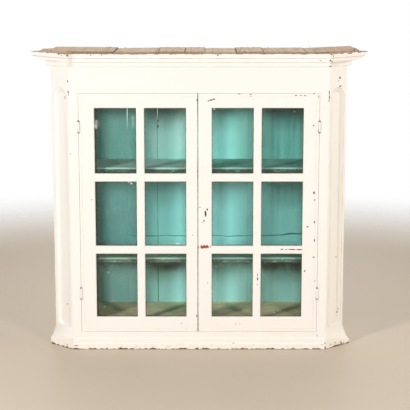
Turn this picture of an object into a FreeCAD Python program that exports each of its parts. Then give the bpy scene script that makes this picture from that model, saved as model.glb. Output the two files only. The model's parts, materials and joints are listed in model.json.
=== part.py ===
import FreeCAD, Part
import math
import os
import re
import Sketcher

# China cabinet with two glazed doors, canted corners, a small cornice and flared feet.
# +Z is up and the front faces -Y. The origin is under the middle of the whole cabinet.
# Depths in this file are measured back from the front plane of the carcass.

# Sizes that can be set, in millimetres
SIZES = [
    ("pane_width", 142.3, "glass seen across one pane"),
    ("pane_height", 224.7, "glass seen up one pane"),
    ("bar_width", 27.5, "upright glazing bar"),
    ("cross_bar_height", 28, "level glazing bar"),
    ("hinge_stile_width", 53, "door stile on the hinge side"),
    ("left_meeting_width", 39, "left door stile at the middle"),
    ("right_meeting_width", 46.8, "right door stile at the middle"),
    ("top_rail_height", 50, "top rail of a door"),
    ("bottom_rail_height", 52, "bottom rail of a door"),
    ("door_thickness", 21, "door from face to back"),
    ("door_gap", 0.8, "gap between a door and its opening"),
    ("meeting_gap", 2, "gap between the two doors"),
    ("bead_width", 9, "bead along the outer edge of a door"),
    ("quirk_width", 1.6, "groove that sets the bead off"),
    ("quirk_depth", 1.5, "depth of that groove"),
    ("sight_chamfer", 2.5, "chamfer round each pane"),
    ("lip_depth", 9, "wood in front of the glass"),
    ("rebate_width", 7, "step that holds the glass"),
    ("glass_thickness", 3, "pane thickness"),
    ("glass_clearance", 1, "room round the glass in its rebate"),
    ("putty_depth", 8, "putty behind the glass"),
    ("tenon_length", 25, "rail tenon"),
    ("tenon_thickness", 7, "rail tenon from front to back"),
    ("tenon_setback", 7, "wood in front of a rail tenon"),
    ("tenon_shoulder", 12, "rail tenon set in from the rail edges"),
    ("stub_length", 5, "tenon of a glazing bar"),
    ("stub_width", 10, "glazing bar tenon across"),
    ("stub_thickness", 6, "glazing bar tenon from front to back"),
    ("stub_setback", 10, "wood in front of a glazing bar tenon"),
    ("tenon_clearance", 0.2, "room round a tenon in its mortise"),
    ("face_stile_width", 31.2, "fixed front stile beside a door"),
    ("cant_run", 65, "canted corner, the same across and back"),
    ("board_thickness", 22, "front frame, canted corners and sides"),
    ("carcass_depth", 273, "front plane to the back of the back boards"),
    ("base_height", 63.2, "base rail under the doors"),
    ("frieze_height", 113.1, "frieze rail over the doors"),
    ("flute_width", 68, "sunk flute on a canted corner"),
    ("flute_floor", 40, "flat floor of the flute"),
    ("flute_depth", 7, "depth of the flute"),
    ("flute_foot", 69, "lower end of the flute above the ground"),
    ("flute_head", 97, "upper end of the flute below the carcass top"),
    ("back_thickness", 13, "back boards"),
    ("back_board_width", 109, "pitch of the back boards"),
    ("back_first_joint", -42, "joint of the back boards nearest the middle"),
    ("back_joint_gap", 0.3, "open joint between back boards"),
    ("crack_width", 2.6, "shrinkage crack beside a back board"),
    ("crack_taper", 70, "lower end of a crack, where it closes"),
    ("long_crack", 285, "longer crack down from the carcass top"),
    ("short_crack", 242, "shorter crack down from the carcass top"),
    ("top_thickness", 20, "level of the top boards over the carcass"),
    ("top_overhang", 50, "top boards past the sides"),
    ("top_joint_gap", 0.8, "open joint between top boards"),
    ("cornice_height", 45, "whole cornice"),
    ("cornice_projection", 9, "cornice top band in front of the front plane"),
    ("cornice_band", 6, "cornice middle band in front of the front plane"),
    ("cornice_fascia", 3, "cornice fascia in front of the front plane"),
    ("fascia_height", 16, "cornice fascia"),
    ("band_height", 13, "cornice middle band"),
    ("cornice_lip", 6, "cornice resting on the carcass top"),
    ("ear_thickness", 22, "cornice and base ends behind the canted face"),
    ("ear_reach", 102, "cornice end past the canted face, along it"),
    ("ear_soffit", 60, "flat underside of the cornice end"),
    ("ear_fascia", 22, "fascia past the canted face"),
    ("ear_soffit_rise", 3, "slope of the cornice end underside"),
    ("ear_round", 66, "radius of the cornice end"),
    ("ear_tip_drop", 1, "edge of the cornice end"),
    ("return_fascia", 15.5, "fascia along a side"),
    ("return_reach", 42, "cornice along a side"),
    ("return_round", 6, "rounded edge of the cornice along a side"),
    ("base_strip_thickness", 3.5, "base strip in front of the front plane"),
    ("base_strip_height", 20, "base strip up to its step"),
    ("base_step_thickness", 2, "upper part of the base strip"),
    ("base_step_height", 40, "top of the base strip"),
    ("base_reach", 32, "foot past the canted face, along it"),
    ("base_flare", 9, "foot in front of the canted face"),
    ("base_flare_height", 80, "top of the hollow curve of the foot"),
    ("base_toe_height", 16, "bottom of the hollow curve of the foot"),
    ("base_toe", 4, "edge of the foot past the hollow curve"),
    ("base_ease", 5, "eased lower edge of the foot"),
    ("toe_wear", 8.5, "left foot's toe worn short, across"),
    ("floor_top", 104, "inside bottom board above the ground"),
    ("floor_thickness", 25, "inside bottom board"),
    ("upper_shelf_top", 635, "upper shelf above the ground"),
    ("lower_shelf_top", 317, "lower shelf above the ground"),
    ("shelf_thickness", 18, "shelves"),
    ("shelf_setback", 50, "shelf edge behind the front plane"),
    ("shelf_clearance", 0.5, "room round a shelf"),
    ("shelf_round", 5, "round nose of a shelf edge"),
    ("shelf_nose", 9, "nose from the shelf top"),
    ("shelf_groove", 3, "groove under the nose"),
    ("shelf_bead", 4.5, "bead under the groove"),
    ("cleat_width", 20, "cleats under the shelves, across"),
    ("cleat_height", 22, "cleats under the shelves"),
    ("cleat_inset", 25, "cleats kept back from the shelf edge"),
    ("stop_thickness", 14, "door stop behind the frieze"),
    ("stop_drop", 17, "door stop below the opening's top"),
    ("stop_rise", 33, "door stop above the opening's top"),
    ("hinge_height", 40, "butt hinges"),
    ("upper_hinge_drop", 113.5, "middle of the upper hinge below the door top"),
    ("lower_hinge_rise", 137, "middle of the lower hinge above the door bottom"),
    ("knuckle_radius", 3.4, "hinge knuckles"),
    ("knuckle_gap", 0.4, "knuckles clear of the doors"),
    ("knuckle_length", 13, "outer hinge knuckles"),
    ("knuckle_play", 0.3, "gap between hinge knuckles"),
    ("hinge_pin_radius", 1.5, "hinge pins"),
    ("hinge_pin_fit", 0.05, "radial clearance of a hinge pin"),
    ("hinge_pin_tip", 2, "hinge pin past the knuckles"),
    ("leaf_thickness", 1.6, "hinge leaves"),
    ("leaf_width", 17, "hinge leaves behind the front plane"),
    ("leaf_clearance", 0.2, "room round a hinge leaf"),
    ("keyhole_rise", 420, "keyhole above the door bottom"),
    ("keyhole_inset", 25.2, "keyhole from the door's middle edge"),
    ("keyhole_radius", 2.75, "round of the keyhole"),
    ("keyhole_slot", 3.2, "slot of the keyhole"),
    ("keyhole_drop", 8, "slot below the keyhole's middle"),
    ("keyhole_lift", 5, "round above the keyhole's middle"),
    ("lock_width", 36, "lock case across the stile"),
    ("lock_below", 14, "lock case below the keyhole"),
    ("lock_above", 26, "lock case above the keyhole"),
    ("lock_depth", 10, "lock case let into the back of the stile"),
    ("lock_wall", 2, "walls of the lock case"),
    ("bolt_height", 10, "lock bolt"),
    ("bolt_rise", 9, "lock bolt above the keyhole"),
    ("bolt_inset", 0.5, "drawn lock bolt inside the door edge"),
    ("bolt_clearance", 0.3, "room round the lock bolt in its case"),
    ("bolt_throw", 8, "travel of the lock bolt"),
    ("strike_thickness", 1.2, "plate that takes the lock bolt"),
    ("strike_margin", 6, "that plate above and below the bolt"),
    ("strike_clearance", 0.8, "room round the lock bolt in the plate"),
]

# Places and fits worked out from the sizes
FITS = [
    ("pane_inner", "(left_meeting_width + right_meeting_width + meeting_gap) / 2"),
    ("bar_inner", "pane_inner + pane_width"),
    ("bar_outer", "bar_inner + bar_width"),
    ("pane_outer", "bar_outer + pane_width"),
    ("door_edge", "pane_outer + hinge_stile_width"),
    ("right_free_edge", "pane_inner - right_meeting_width"),
    ("left_free_edge", "pane_inner - left_meeting_width"),
    ("opening_half", "door_edge + door_gap"),
    ("front_half", "opening_half + face_stile_width"),
    ("carcass_half", "front_half + cant_run"),
    ("inner_half", "carcass_half - board_thickness"),
    ("top_half", "carcass_half + top_overhang"),
    ("cant_length", "cant_run * sqrt(2)"),
    ("front_y", "-(carcass_depth - cornice_projection) / 2"),
    ("back_inner", "carcass_depth - back_thickness"),
    ("door_bottom", "base_height + door_gap"),
    ("pane_pitch", "pane_height + cross_bar_height"),
    ("glazing_bottom", "door_bottom + bottom_rail_height"),
    ("glazing_top", "glazing_bottom + 3 * pane_height + 2 * cross_bar_height"),
    ("door_top", "glazing_top + top_rail_height"),
    ("opening_top", "door_top + door_gap"),
    ("carcass_height", "opening_top + frieze_height"),
    ("cornice_bottom", "carcass_height + top_thickness - cornice_height"),
    ("cornice_top", "cornice_bottom + cornice_height"),
    ("cornice_cove", "cornice_projection - cornice_band"),
    ("ear_tip", "cant_length + ear_reach"),
    ("base_tip", "cant_length + base_reach"),
    ("toe_x", "front_half + (base_tip + base_flare) / sqrt(2)"),
    ("hinge_x", "opening_half - door_gap / 2"),
    ("hinge_y", "-(knuckle_radius + knuckle_gap)"),
    ("upper_hinge", "door_top - upper_hinge_drop - hinge_height / 2"),
    ("lower_hinge", "door_bottom + lower_hinge_rise - hinge_height / 2"),
    ("keyhole_x", "right_free_edge + keyhole_inset"),
    ("keyhole_z", "door_bottom + keyhole_rise"),
    ("bolt_bottom", "keyhole_z + bolt_rise"),
    ("bolt_top", "bolt_bottom + bolt_height"),
    ("lock_front", "door_thickness - lock_depth"),
    ("bolt_front", "lock_front + lock_wall"),
    ("bolt_back", "door_thickness - lock_wall"),
]

# Joints of the top boards from left to right, as shares of half their width, and the heights of each
# board's left and right edges over the level
TOP_JOINTS = (-0.917, -0.52, -0.248, -0.085, 0.036, 0.23, 0.394, 0.658, 0.968)
TOP_STEPS = (
    (-0.8, 0.4), (6.2, 4.6), (1.3, 3.2), (4.9, 4.4), (4.3, 4.6),
    (1.6, 1.3), (3.8, 4.6), (2.4, 3.2), (1.4, 9), (2.4, 2.4),
)

# Panes up a door, joints of the back boards each side of the first, and the cracks left of two boards
PANE_ROWS = 3
BACK_JOINTS = range(-4, 5)
CRACKS = {4: "long_crack", 5: "short_crack"}

# Share of a thickness that a mitre between the front, a canted corner and a side takes
MITRE = "tan(22.5)"

# Distance that cutting outlines run past the wood
PAST = "20"

# Numbers of a sketched curve's first point, last point and centre
START, END, CENTRE = 1, 2, 3

# A sketch's origin, as its constraints name it
ORIGIN = (-1, START)

doc = FreeCAD.newDocument("china_cabinet")
sub_parts = []


def make_sheet(name, rows):
    """A sheet with one aliased cell for each row and the row's meaning beside it."""
    sheet = doc.addObject("Spreadsheet::Sheet", name)
    for number, (alias, content, meaning) in enumerate(rows, start=1):
        sheet.set(f"A{number}", meaning)
        sheet.set(f"B{number}", str(content))
        sheet.setAlias(f"B{number}", alias)
    return sheet


sheet_of = {alias: "sizes" for alias, content, meaning in SIZES}


def linked(text):
    """The same formula with each size's sheet written before its name."""
    def with_sheet(word):
        name = word.group()
        return f"{sheet_of[name]}.{name}" if name in sheet_of else name
    return re.sub(r"[a-z]\w*", with_sheet, text)


top_rows = []
for number, joint in enumerate(TOP_JOINTS, start=1):
    top_rows.append((f"top_joint_{number}", joint, "joint of the top boards, share of half their width"))
for number, (left, right) in enumerate(TOP_STEPS, start=1):
    top_rows.append((f"top_left_{number}", left, "left edge of a top board over the level"))
    top_rows.append((f"top_right_{number}", right, "right edge of a top board over the level"))
sheet_of.update({alias: "sizes" for alias, content, meaning in top_rows})
sizes = make_sheet("sizes", SIZES + top_rows)
fits = make_sheet("fits", [(alias, "=" + linked(formula), formula) for alias, formula in FITS])
sheet_of.update({alias: "fits" for alias, formula in FITS})
doc.recompute()


def value(text):
    """The number that a formula gives now."""
    return float(sizes.evalExpression(linked(text)))


def bind(thing, field, text):
    """Tie one property of an object to a formula on the sheets."""
    thing.setExpression(field, linked(text))


def grow(span, amount):
    """Move both ends of a span outwards."""
    return (f"{span[0]} - {amount}", f"{span[1]} + {amount}")


def keep(thing):
    """Make an object one of the cabinet's sub-parts, under its own label."""
    sub_parts.append(thing)
    return thing


def box(name, x, y, z):
    """A block between two limits on each axis."""
    block = doc.addObject("Part::Box", name)
    for size, axis, (low, high) in (("Length", "x", x), ("Width", "y", y), ("Height", "z", z)):
        bind(block, size, f"({high}) - ({low})")
        bind(block, f"Placement.Base.{axis}", f"front_y + {low}" if axis == "y" else low)
    return block


def frustum(name, y, front, back):
    """A block whose front and back are different spans of width and height."""
    block = doc.addObject("Part::Wedge", name)
    fields = ("Xmin", "Xmax", "Zmin", "Zmax", "X2min", "X2max", "Z2min", "Z2max", "Ymin", "Ymax")
    for field, text in zip(fields, front[0] + front[1] + back[0] + back[1] + y):
        bind(block, field, text)
    bind(block, "Placement.Base.y", "front_y")
    return block


def upright_rod(name, x, y, z, radius):
    """A vertical cylinder between two heights."""
    rod = doc.addObject("Part::Cylinder", name)
    bind(rod, "Radius", radius)
    bind(rod, "Height", f"({z[1]}) - ({z[0]})")
    bind(rod, "Placement.Base.x", x)
    bind(rod, "Placement.Base.y", f"front_y + {y}")
    bind(rod, "Placement.Base.z", z[0])
    return rod


def joined(name, solids):
    """Several solids made one."""
    whole = doc.addObject("Part::MultiFuse", name)
    whole.Shapes = solids
    return whole


def group(name, solids):
    """Several separate solids under one name."""
    several = doc.addObject("Part::Compound", name)
    several.Links = solids
    return several


def cut(name, base, tools):
    """A solid with one or more others taken out of it."""
    rest = doc.addObject("Part::Cut", name)
    rest.Base = base
    rest.Tool = tools[0] if len(tools) == 1 else joined(name + "_cuts", tools)
    return rest


def other_hand(piece):
    """The left-hand copy of a right-hand piece."""
    copy = doc.addObject("Part::Mirroring", "left_" + piece.Label.removeprefix("right_"))
    copy.Source = piece
    copy.Normal = FreeCAD.Vector(1, 0, 0)
    return copy


def pair(piece):
    """Keep a right-hand piece and its left-hand copy."""
    keep(piece)
    return keep(other_hand(piece))


def front_body(name):
    """A body whose axes are the cabinet's own, at the front plane."""
    body = doc.addObject("PartDesign::Body", name)
    bind(body, "Placement.Base.y", "front_y")
    return body


def cant_body(name):
    """A body at the right front corner with X along the canted face and Y into the cabinet."""
    body = doc.addObject("PartDesign::Body", name)
    body.Placement.Rotation = FreeCAD.Rotation(FreeCAD.Vector(0, 0, 1), 45)
    bind(body, "Placement.Base.x", "front_half")
    bind(body, "Placement.Base.y", "front_y")
    return body


def new_sketch(body, plane, offset):
    """An empty sketch on one of a body's origin planes, moved along the plane's normal."""
    sketch = body.newObject("Sketcher::SketchObject", body.Label + "_outline")
    support = [feature for feature in body.Origin.OriginFeatures if feature.Role == plane]
    sketch.AttachmentSupport = [(support[0], "")]
    sketch.MapMode = "FlatFace"
    bind(sketch, "AttachmentOffset.Base.z", offset)
    return sketch


def driven(sketch, text, *constraint):
    """Add a dimension to a sketch and tie it to a formula."""
    number = sketch.addConstraint(Sketcher.Constraint(*constraint, value(text)))
    bind(sketch, f"Constraints[{number}]", text)


def arc_between(start, end, radius, bulge):
    """The short arc between two points, bulging right (1) or left (-1) of the way from start to end."""
    chord = end - start
    rise = math.sqrt(radius ** 2 - chord.Length ** 2 / 4)
    right = FreeCAD.Vector(chord.y, -chord.x, 0).normalize()
    centre = (start + end) / 2 - right * (rise * bulge)
    angles = [math.atan2(point.y - centre.y, point.x - centre.x) for point in (start, end)]
    first, last = angles if bulge > 0 else reversed(angles)
    return Part.ArcOfCircle(Part.Circle(centre, FreeCAD.Vector(0, 0, 1), radius), first, last)


def draw_loop(sketch, corners):
    """Draw one closed outline. A corner is (across, up), with (radius, bulge) where an arc follows."""
    points = [FreeCAD.Vector(value(corner[0]), value(corner[1]), 0) for corner in corners]
    edges = []
    for index, corner in enumerate(corners):
        start = points[index]
        end = points[(index + 1) % len(points)]
        if len(corner) == 2:
            edge = (sketch.addGeometry(Part.LineSegment(start, end)), START, END)
        else:
            arc = arc_between(start, end, value(corner[2]), corner[3])
            ends = (START, END) if corner[3] > 0 else (END, START)
            edge = (sketch.addGeometry(arc), *ends)
        edges.append(edge)
    for index, corner in enumerate(corners):
        curve, start, end = edges[index]
        following = edges[(index + 1) % len(edges)]
        sketch.addConstraint(Sketcher.Constraint("Coincident", curve, end, following[0], following[1]))
    for (curve, start, end), corner in zip(edges, corners):
        driven(sketch, corner[0], "DistanceX", *ORIGIN, curve, start)
        driven(sketch, corner[1], "DistanceY", *ORIGIN, curve, start)
        if len(corner) == 4:
            driven(sketch, corner[2], "Radius", curve)


def outline(body, plane, loops, offset="0"):
    """A sketch of one or more closed outlines."""
    sketch = new_sketch(body, plane, offset)
    for corners in loops:
        draw_loop(sketch, corners)
    return sketch


def stadium(body, plane, middle, width, span, offset):
    """A sketch of an upright slot with round ends."""
    sketch = new_sketch(body, plane, offset)
    radius = value(width) / 2
    low = FreeCAD.Vector(value(middle), value(span[0]) + radius, 0)
    high = FreeCAD.Vector(value(middle), value(span[1]) - radius, 0)
    side = FreeCAD.Vector(radius, 0, 0)
    normal = FreeCAD.Vector(0, 0, 1)
    right = sketch.addGeometry(Part.LineSegment(low + side, high + side))
    head = sketch.addGeometry(Part.ArcOfCircle(Part.Circle(high, normal, radius), 0, math.pi))
    left = sketch.addGeometry(Part.LineSegment(high - side, low - side))
    foot = sketch.addGeometry(Part.ArcOfCircle(Part.Circle(low, normal, radius), math.pi, 2 * math.pi))
    for first, second in ((right, head), (head, left), (left, foot), (foot, right)):
        sketch.addConstraint(Sketcher.Constraint("Tangent", first, END, second, START))
    sketch.addConstraint(Sketcher.Constraint("Equal", head, foot))
    sketch.addConstraint(Sketcher.Constraint("Vertical", right))
    driven(sketch, f"({width}) / 2", "Radius", head)
    driven(sketch, middle, "DistanceX", *ORIGIN, foot, CENTRE)
    driven(sketch, f"{span[0]} + ({width}) / 2", "DistanceY", *ORIGIN, foot, CENTRE)
    driven(sketch, f"{span[1]} - ({width}) / 2", "DistanceY", *ORIGIN, head, CENTRE)
    return sketch


def pad(body, sketch, length, both_ways=False, turned=False):
    """Solid from a sketch, along its normal."""
    feature = body.newObject("PartDesign::Pad", body.Label + "_pad")
    feature.Profile = sketch
    feature.SideType = "Symmetric" if both_ways else "One side"
    feature.Reversed = turned
    bind(feature, "Length", length)
    return feature


def trim(body, sketch):
    """Cut a sketch's outlines through the whole body, both ways."""
    feature = body.newObject("PartDesign::Pocket", body.Label + "_trim")
    feature.Profile = sketch
    feature.SideType = "Symmetric"
    feature.Type = "ThroughAll"
    return feature


def board(name, corners, bottom, height):
    """An upright board or a level panel with the given outline in plan."""
    body = front_body(name)
    pad(body, outline(body, "XY_Plane", [corners], bottom), height)
    return body


# Carcass: sides, fixed front stiles, rails, bottom board and back boards

side = board("right_side", [
    ("carcass_half", "cant_run"),
    ("carcass_half", "back_inner"),
    ("inner_half", "back_inner"),
    ("inner_half", f"cant_run + board_thickness * {MITRE}"),
], "0", "carcass_height")
pair(side)

frieze_rail = keep(box("frieze_rail", ("-opening_half", "opening_half"), ("0", "board_thickness"),
                       ("opening_top", "carcass_height")))
base_rail = keep(box("base_rail", ("-opening_half", "opening_half"), ("0", "board_thickness"),
                     ("0", "base_height")))
door_stop = keep(box("door_stop", ("-opening_half", "opening_half"),
                     ("board_thickness", "board_thickness + stop_thickness"),
                     ("opening_top - stop_drop", "opening_top + stop_rise")))


def inside_plan(front, room):
    """Plan of a panel that fills the carcass from a given depth to the back boards."""
    corner = f"front_half - board_thickness * {MITRE} + {front} - board_thickness - {room} * sqrt(2)"
    widest = f"inner_half - {room}"
    bend = f"cant_run + board_thickness * {MITRE} + {room} * {MITRE}"
    rear = f"back_inner - {room}"
    return [
        (f"-({corner})", front),
        (corner, front),
        (widest, bend),
        (widest, rear),
        (f"-({widest})", rear),
        (f"-({widest})", bend),
    ]


bottom_board = keep(board("bottom_board", inside_plan("board_thickness", "0"),
                          "floor_top - floor_thickness", "floor_thickness"))

back_joints = [f"back_first_joint + {number} * back_board_width" for number in BACK_JOINTS]
back_edges = ["-carcass_half - back_joint_gap / 2"] + back_joints + ["carcass_half + back_joint_gap / 2"]
back_boards = []
for number, (low, high) in enumerate(zip(back_edges, back_edges[1:]), start=1):
    left = f"{low} + back_joint_gap / 2"
    right = f"{high} - back_joint_gap / 2"
    shape = [(left, "0"), (right, "0"), (right, "carcass_height"), (left, "carcass_height")]
    if number in CRACKS:
        crack_foot = f"carcass_height - {CRACKS[number]}"
        crack_side = f"{left} + crack_width"
        shape[-1:] = [
            (crack_side, "carcass_height"),
            (crack_side, f"{crack_foot} + crack_taper"),
            (left, crack_foot),
        ]
    back_board = front_body(f"back_board_{number}")
    pad(back_board, outline(back_board, "XZ_Plane", [shape], "-back_inner"), "back_thickness", turned=True)
    back_boards.append(back_board)
keep(group("back_boards", back_boards))

# Canted corners: a mitred board with a sunk flute whose sides slope to a narrower floor

canted_corner = cant_body("right_canted_corner")
pad(canted_corner, outline(canted_corner, "XY_Plane", [[
    ("0", "0"),
    ("cant_length", "0"),
    (f"cant_length - board_thickness * {MITRE}", "board_thickness"),
    (f"board_thickness * {MITRE}", "board_thickness"),
]]), "carcass_height")
flute_span = ("flute_foot", "carcass_height - flute_head")
flute_slope = "(flute_width - flute_floor) / 2"
flute_floor_span = (f"flute_foot + {flute_slope}", f"carcass_height - flute_head - {flute_slope}")
flute_mouth = stadium(canted_corner, "XZ_Plane", "cant_length / 2", "flute_width", flute_span, "0")
flute_bed = stadium(canted_corner, "XZ_Plane", "cant_length / 2", "flute_floor", flute_floor_span,
                    "-flute_depth")
flute = canted_corner.newObject("PartDesign::SubtractiveLoft", "right_flute")
flute.Profile = flute_mouth
flute.Sections = [flute_bed]
flute.Ruled = True
pair(canted_corner)

# Shelves with a round nose, a groove and a bead along the front edge, on cleats


def shelf(name, top):
    """A shelf with its moulded front edge."""
    body = board(name, inside_plan("shelf_setback", "shelf_clearance"), f"{top} - shelf_thickness",
                 "shelf_thickness")
    groove_top = f"{top} - shelf_nose"
    groove_foot = f"{groove_top} - shelf_groove"
    bead_foot = f"{groove_foot} - shelf_bead"
    inner = "shelf_setback + shelf_groove"
    edge = outline(body, "YZ_Plane", [[
        ("shelf_setback + shelf_round", top, "shelf_round", 1),
        ("shelf_setback", f"{top} - shelf_round"),
        ("shelf_setback", groove_top),
        (inner, groove_top),
        (inner, groove_foot),
        ("shelf_setback + shelf_groove / 2", groove_foot, "shelf_bead", 1),
        ("shelf_setback + shelf_groove / 2", bead_foot),
        (inner, bead_foot),
        (inner, f"{top} - shelf_thickness - {PAST}"),
        (f"shelf_setback - {PAST}", f"{top} - shelf_thickness - {PAST}"),
        (f"shelf_setback - {PAST}", f"{top} + {PAST}"),
        ("shelf_setback + shelf_round", f"{top} + {PAST}"),
    ]])
    trim(body, edge)
    return keep(body)


upper_shelf = shelf("upper_shelf", "upper_shelf_top")
lower_shelf = shelf("lower_shelf", "lower_shelf_top")

carried = (
    ("upper", "upper_shelf_top - shelf_thickness"),
    ("lower", "lower_shelf_top - shelf_thickness"),
    ("bottom", "floor_top - floor_thickness"),
)
cleats = []
for level, underside in carried:
    cleat = box(f"right_{level}_cleat", ("inner_half - cleat_width", "inner_half"),
                ("shelf_setback + cleat_inset + cleat_width", "back_inner"),
                (f"{underside} - cleat_height", underside))
    cleats += [cleat, other_hand(cleat)]
keep(group("shelf_cleats", cleats))

# Top boards, front to back, each a little higher or lower than the next

top_edges = ["-top_half - top_joint_gap / 2"]
top_edges += [f"top_joint_{number} * top_half" for number in range(1, len(TOP_JOINTS) + 1)]
top_edges += ["top_half + top_joint_gap / 2"]
corner_line = "ear_thickness * sqrt(2) - front_half"
right_bend = (f"cornice_lip - ({corner_line})", "cornice_lip")
left_bend = (f"{corner_line} - cornice_lip", "cornice_lip")


def at_corner(edge, hand):
    """Where a board's edge meets the back of the right (1) or left (-1) end of the cornice."""
    return (edge, f"{hand} * ({edge}) + {corner_line}")


def top_front(number, left, right):
    """Front of one top board: straight behind the cornice, and slanted behind its ends."""
    last = len(TOP_STEPS)
    slanted = {
        1: [at_corner(left, -1), at_corner(right, -1)],
        2: [at_corner(left, -1), left_bend, (right, "cornice_lip")],
        last - 1: [(left, "cornice_lip"), right_bend, at_corner(right, 1)],
        last: [at_corner(left, 1), at_corner(right, 1)],
    }
    return slanted.get(number, [(left, "cornice_lip"), (right, "cornice_lip")])


def top_slope(number, left, right):
    """Outline across one top board of what is taken off over the slope between its edges."""
    low_left = f"cornice_top + top_left_{number}"
    low_right = f"cornice_top + top_right_{number}"
    over = f"cornice_top + 2 * {PAST}"
    return [
        (left, low_left),
        (right, low_right),
        (f"{right} + {PAST}", low_right),
        (f"{right} + {PAST}", over),
        (f"{left} - {PAST}", over),
        (f"{left} - {PAST}", low_left),
    ]


for number, (low, high) in enumerate(zip(top_edges, top_edges[1:]), start=1):
    left = f"{low} + top_joint_gap / 2"
    right = f"{high} - top_joint_gap / 2"
    plan = top_front(number, left, right) + [(right, "carcass_depth"), (left, "carcass_depth")]
    top_board = board(f"top_board_{number}", plan, "carcass_height", f"top_thickness + {PAST}")
    trim(top_board, outline(top_board, "XZ_Plane", [top_slope(number, left, right)]))
    keep(top_board)

# Cornice: fascia, middle band, cove and top band, with ears past the canted corners

cornice_steps = [
    ("-cornice_fascia", "cornice_bottom + fascia_height"),
    ("-cornice_band", "cornice_bottom + fascia_height"),
    ("-cornice_band", "cornice_bottom + fascia_height + band_height", "cornice_cove", -1),
    ("-cornice_projection", "cornice_bottom + fascia_height + band_height + cornice_cove"),
]


def mitred_ends(projection, depth):
    """Outlines in plan of what the mitres take off both ends of a front moulding."""
    right = [
        (f"front_half - {depth} * {MITRE}", depth),
        (f"front_half + {projection} * {MITRE}", f"-({projection})"),
        (f"front_half + {projection} + {PAST}", f"-({projection})"),
        (f"front_half + {projection} + {PAST}", depth),
    ]
    left = [(f"-({across})", back) for across, back in reversed(right)]
    return [right, left]


cornice_front = front_body("cornice_front")
pad(cornice_front, outline(cornice_front, "YZ_Plane", [[
    ("0", "cornice_bottom"),
    ("-cornice_fascia", "cornice_bottom"),
    *cornice_steps,
    ("-cornice_projection", "cornice_top"),
    ("cornice_lip", "cornice_top"),
    ("cornice_lip", "carcass_height"),
    ("0", "carcass_height"),
]]), "2 * (front_half + cornice_projection)", both_ways=True)
trim(cornice_front, outline(cornice_front, "XY_Plane", mitred_ends("cornice_projection", "cornice_lip")))
keep(cornice_front)

cornice_corner = cant_body("right_cornice_corner")
ear_front = [
    (f"-cornice_projection * {MITRE}", "-cornice_projection"),
    ("ear_tip", "-cornice_projection"),
    ("ear_tip", "ear_thickness"),
]
pad(cornice_corner, outline(cornice_corner, "XY_Plane", [ear_front + [
    ("cant_length + ear_thickness", "ear_thickness"),
    ("cant_length", "0"),
    ("0", "0"),
]], "cornice_bottom"), "carcass_height - cornice_bottom")
pad(cornice_corner, outline(cornice_corner, "XY_Plane", [ear_front + [
    ("cornice_lip * sqrt(2) - ear_thickness", "ear_thickness"),
    (f"cornice_lip * {MITRE}", "cornice_lip"),
]], "carcass_height"), "top_thickness")
trim(cornice_corner, outline(cornice_corner, "XZ_Plane", [[
    ("cant_length + ear_fascia", f"cornice_bottom - {PAST}"),
    (f"ear_tip + {PAST}", f"cornice_bottom - {PAST}"),
    (f"ear_tip + {PAST}", "cornice_top - ear_tip_drop"),
    ("ear_tip", "cornice_top - ear_tip_drop", "ear_round", -1),
    ("cant_length + ear_soffit", "cornice_bottom + fascia_height + ear_soffit_rise"),
    ("cant_length + ear_fascia", "cornice_bottom + fascia_height"),
]]))
trim(cornice_corner, outline(cornice_corner, "YZ_Plane", [[
    ("-cornice_fascia", f"cornice_bottom - {PAST}"),
    *cornice_steps,
    (f"-cornice_projection - {PAST}", "cornice_bottom + fascia_height + band_height + cornice_cove"),
    (f"-cornice_projection - {PAST}", f"cornice_bottom - {PAST}"),
]]))
pair(cornice_corner)


def side_return(name, profile):
    """A moulding along the right side, from the back plane of a corner piece to the cabinet's back."""
    body = front_body(name)
    pad(body, outline(body, "XZ_Plane", [profile]), "carcass_depth", turned=True)
    reach = f"top_half + {PAST}"
    trim(body, outline(body, "XY_Plane", [[
        ("front_half", f"-({PAST})"),
        (reach, f"-({PAST})"),
        (reach, f"{reach} + {corner_line}"),
        ("front_half", f"front_half + {corner_line}"),
    ]]))
    return body


cornice_return = side_return("right_cornice_return", [
    ("carcass_half", "cornice_bottom"),
    ("carcass_half + return_fascia", "cornice_bottom"),
    ("carcass_half + return_fascia", "cornice_bottom + fascia_height"),
    ("carcass_half + return_reach", "cornice_bottom + fascia_height", "return_round", 1),
    ("carcass_half + return_reach + return_round", "cornice_bottom + fascia_height + return_round"),
    ("carcass_half + return_reach + return_round", "carcass_height"),
    ("carcass_half", "carcass_height"),
])
pair(cornice_return)

# Base: a thin strip along the front and hollow-curved feet at the canted corners


def hollow(reach):
    """Radius of a hollow curve that starts upright at the top of a foot and reaches out to its toe."""
    rise = "(base_flare_height - base_toe_height)"
    return f"(({reach})^2 + {rise}^2) / (2 * ({reach}))"


base_strip = front_body("base_strip")
pad(base_strip, outline(base_strip, "YZ_Plane", [[
    ("0", "0"),
    ("0", "base_step_height"),
    ("-base_step_thickness", "base_step_height - base_step_thickness"),
    ("-base_step_thickness", "base_strip_height + base_step_thickness"),
    ("-base_strip_thickness", "base_strip_height"),
    ("-base_strip_thickness", "0"),
]]), "2 * (front_half + base_strip_thickness)", both_ways=True)
trim(base_strip, outline(base_strip, "XY_Plane", mitred_ends("base_strip_thickness", "0")))
keep(base_strip)

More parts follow.
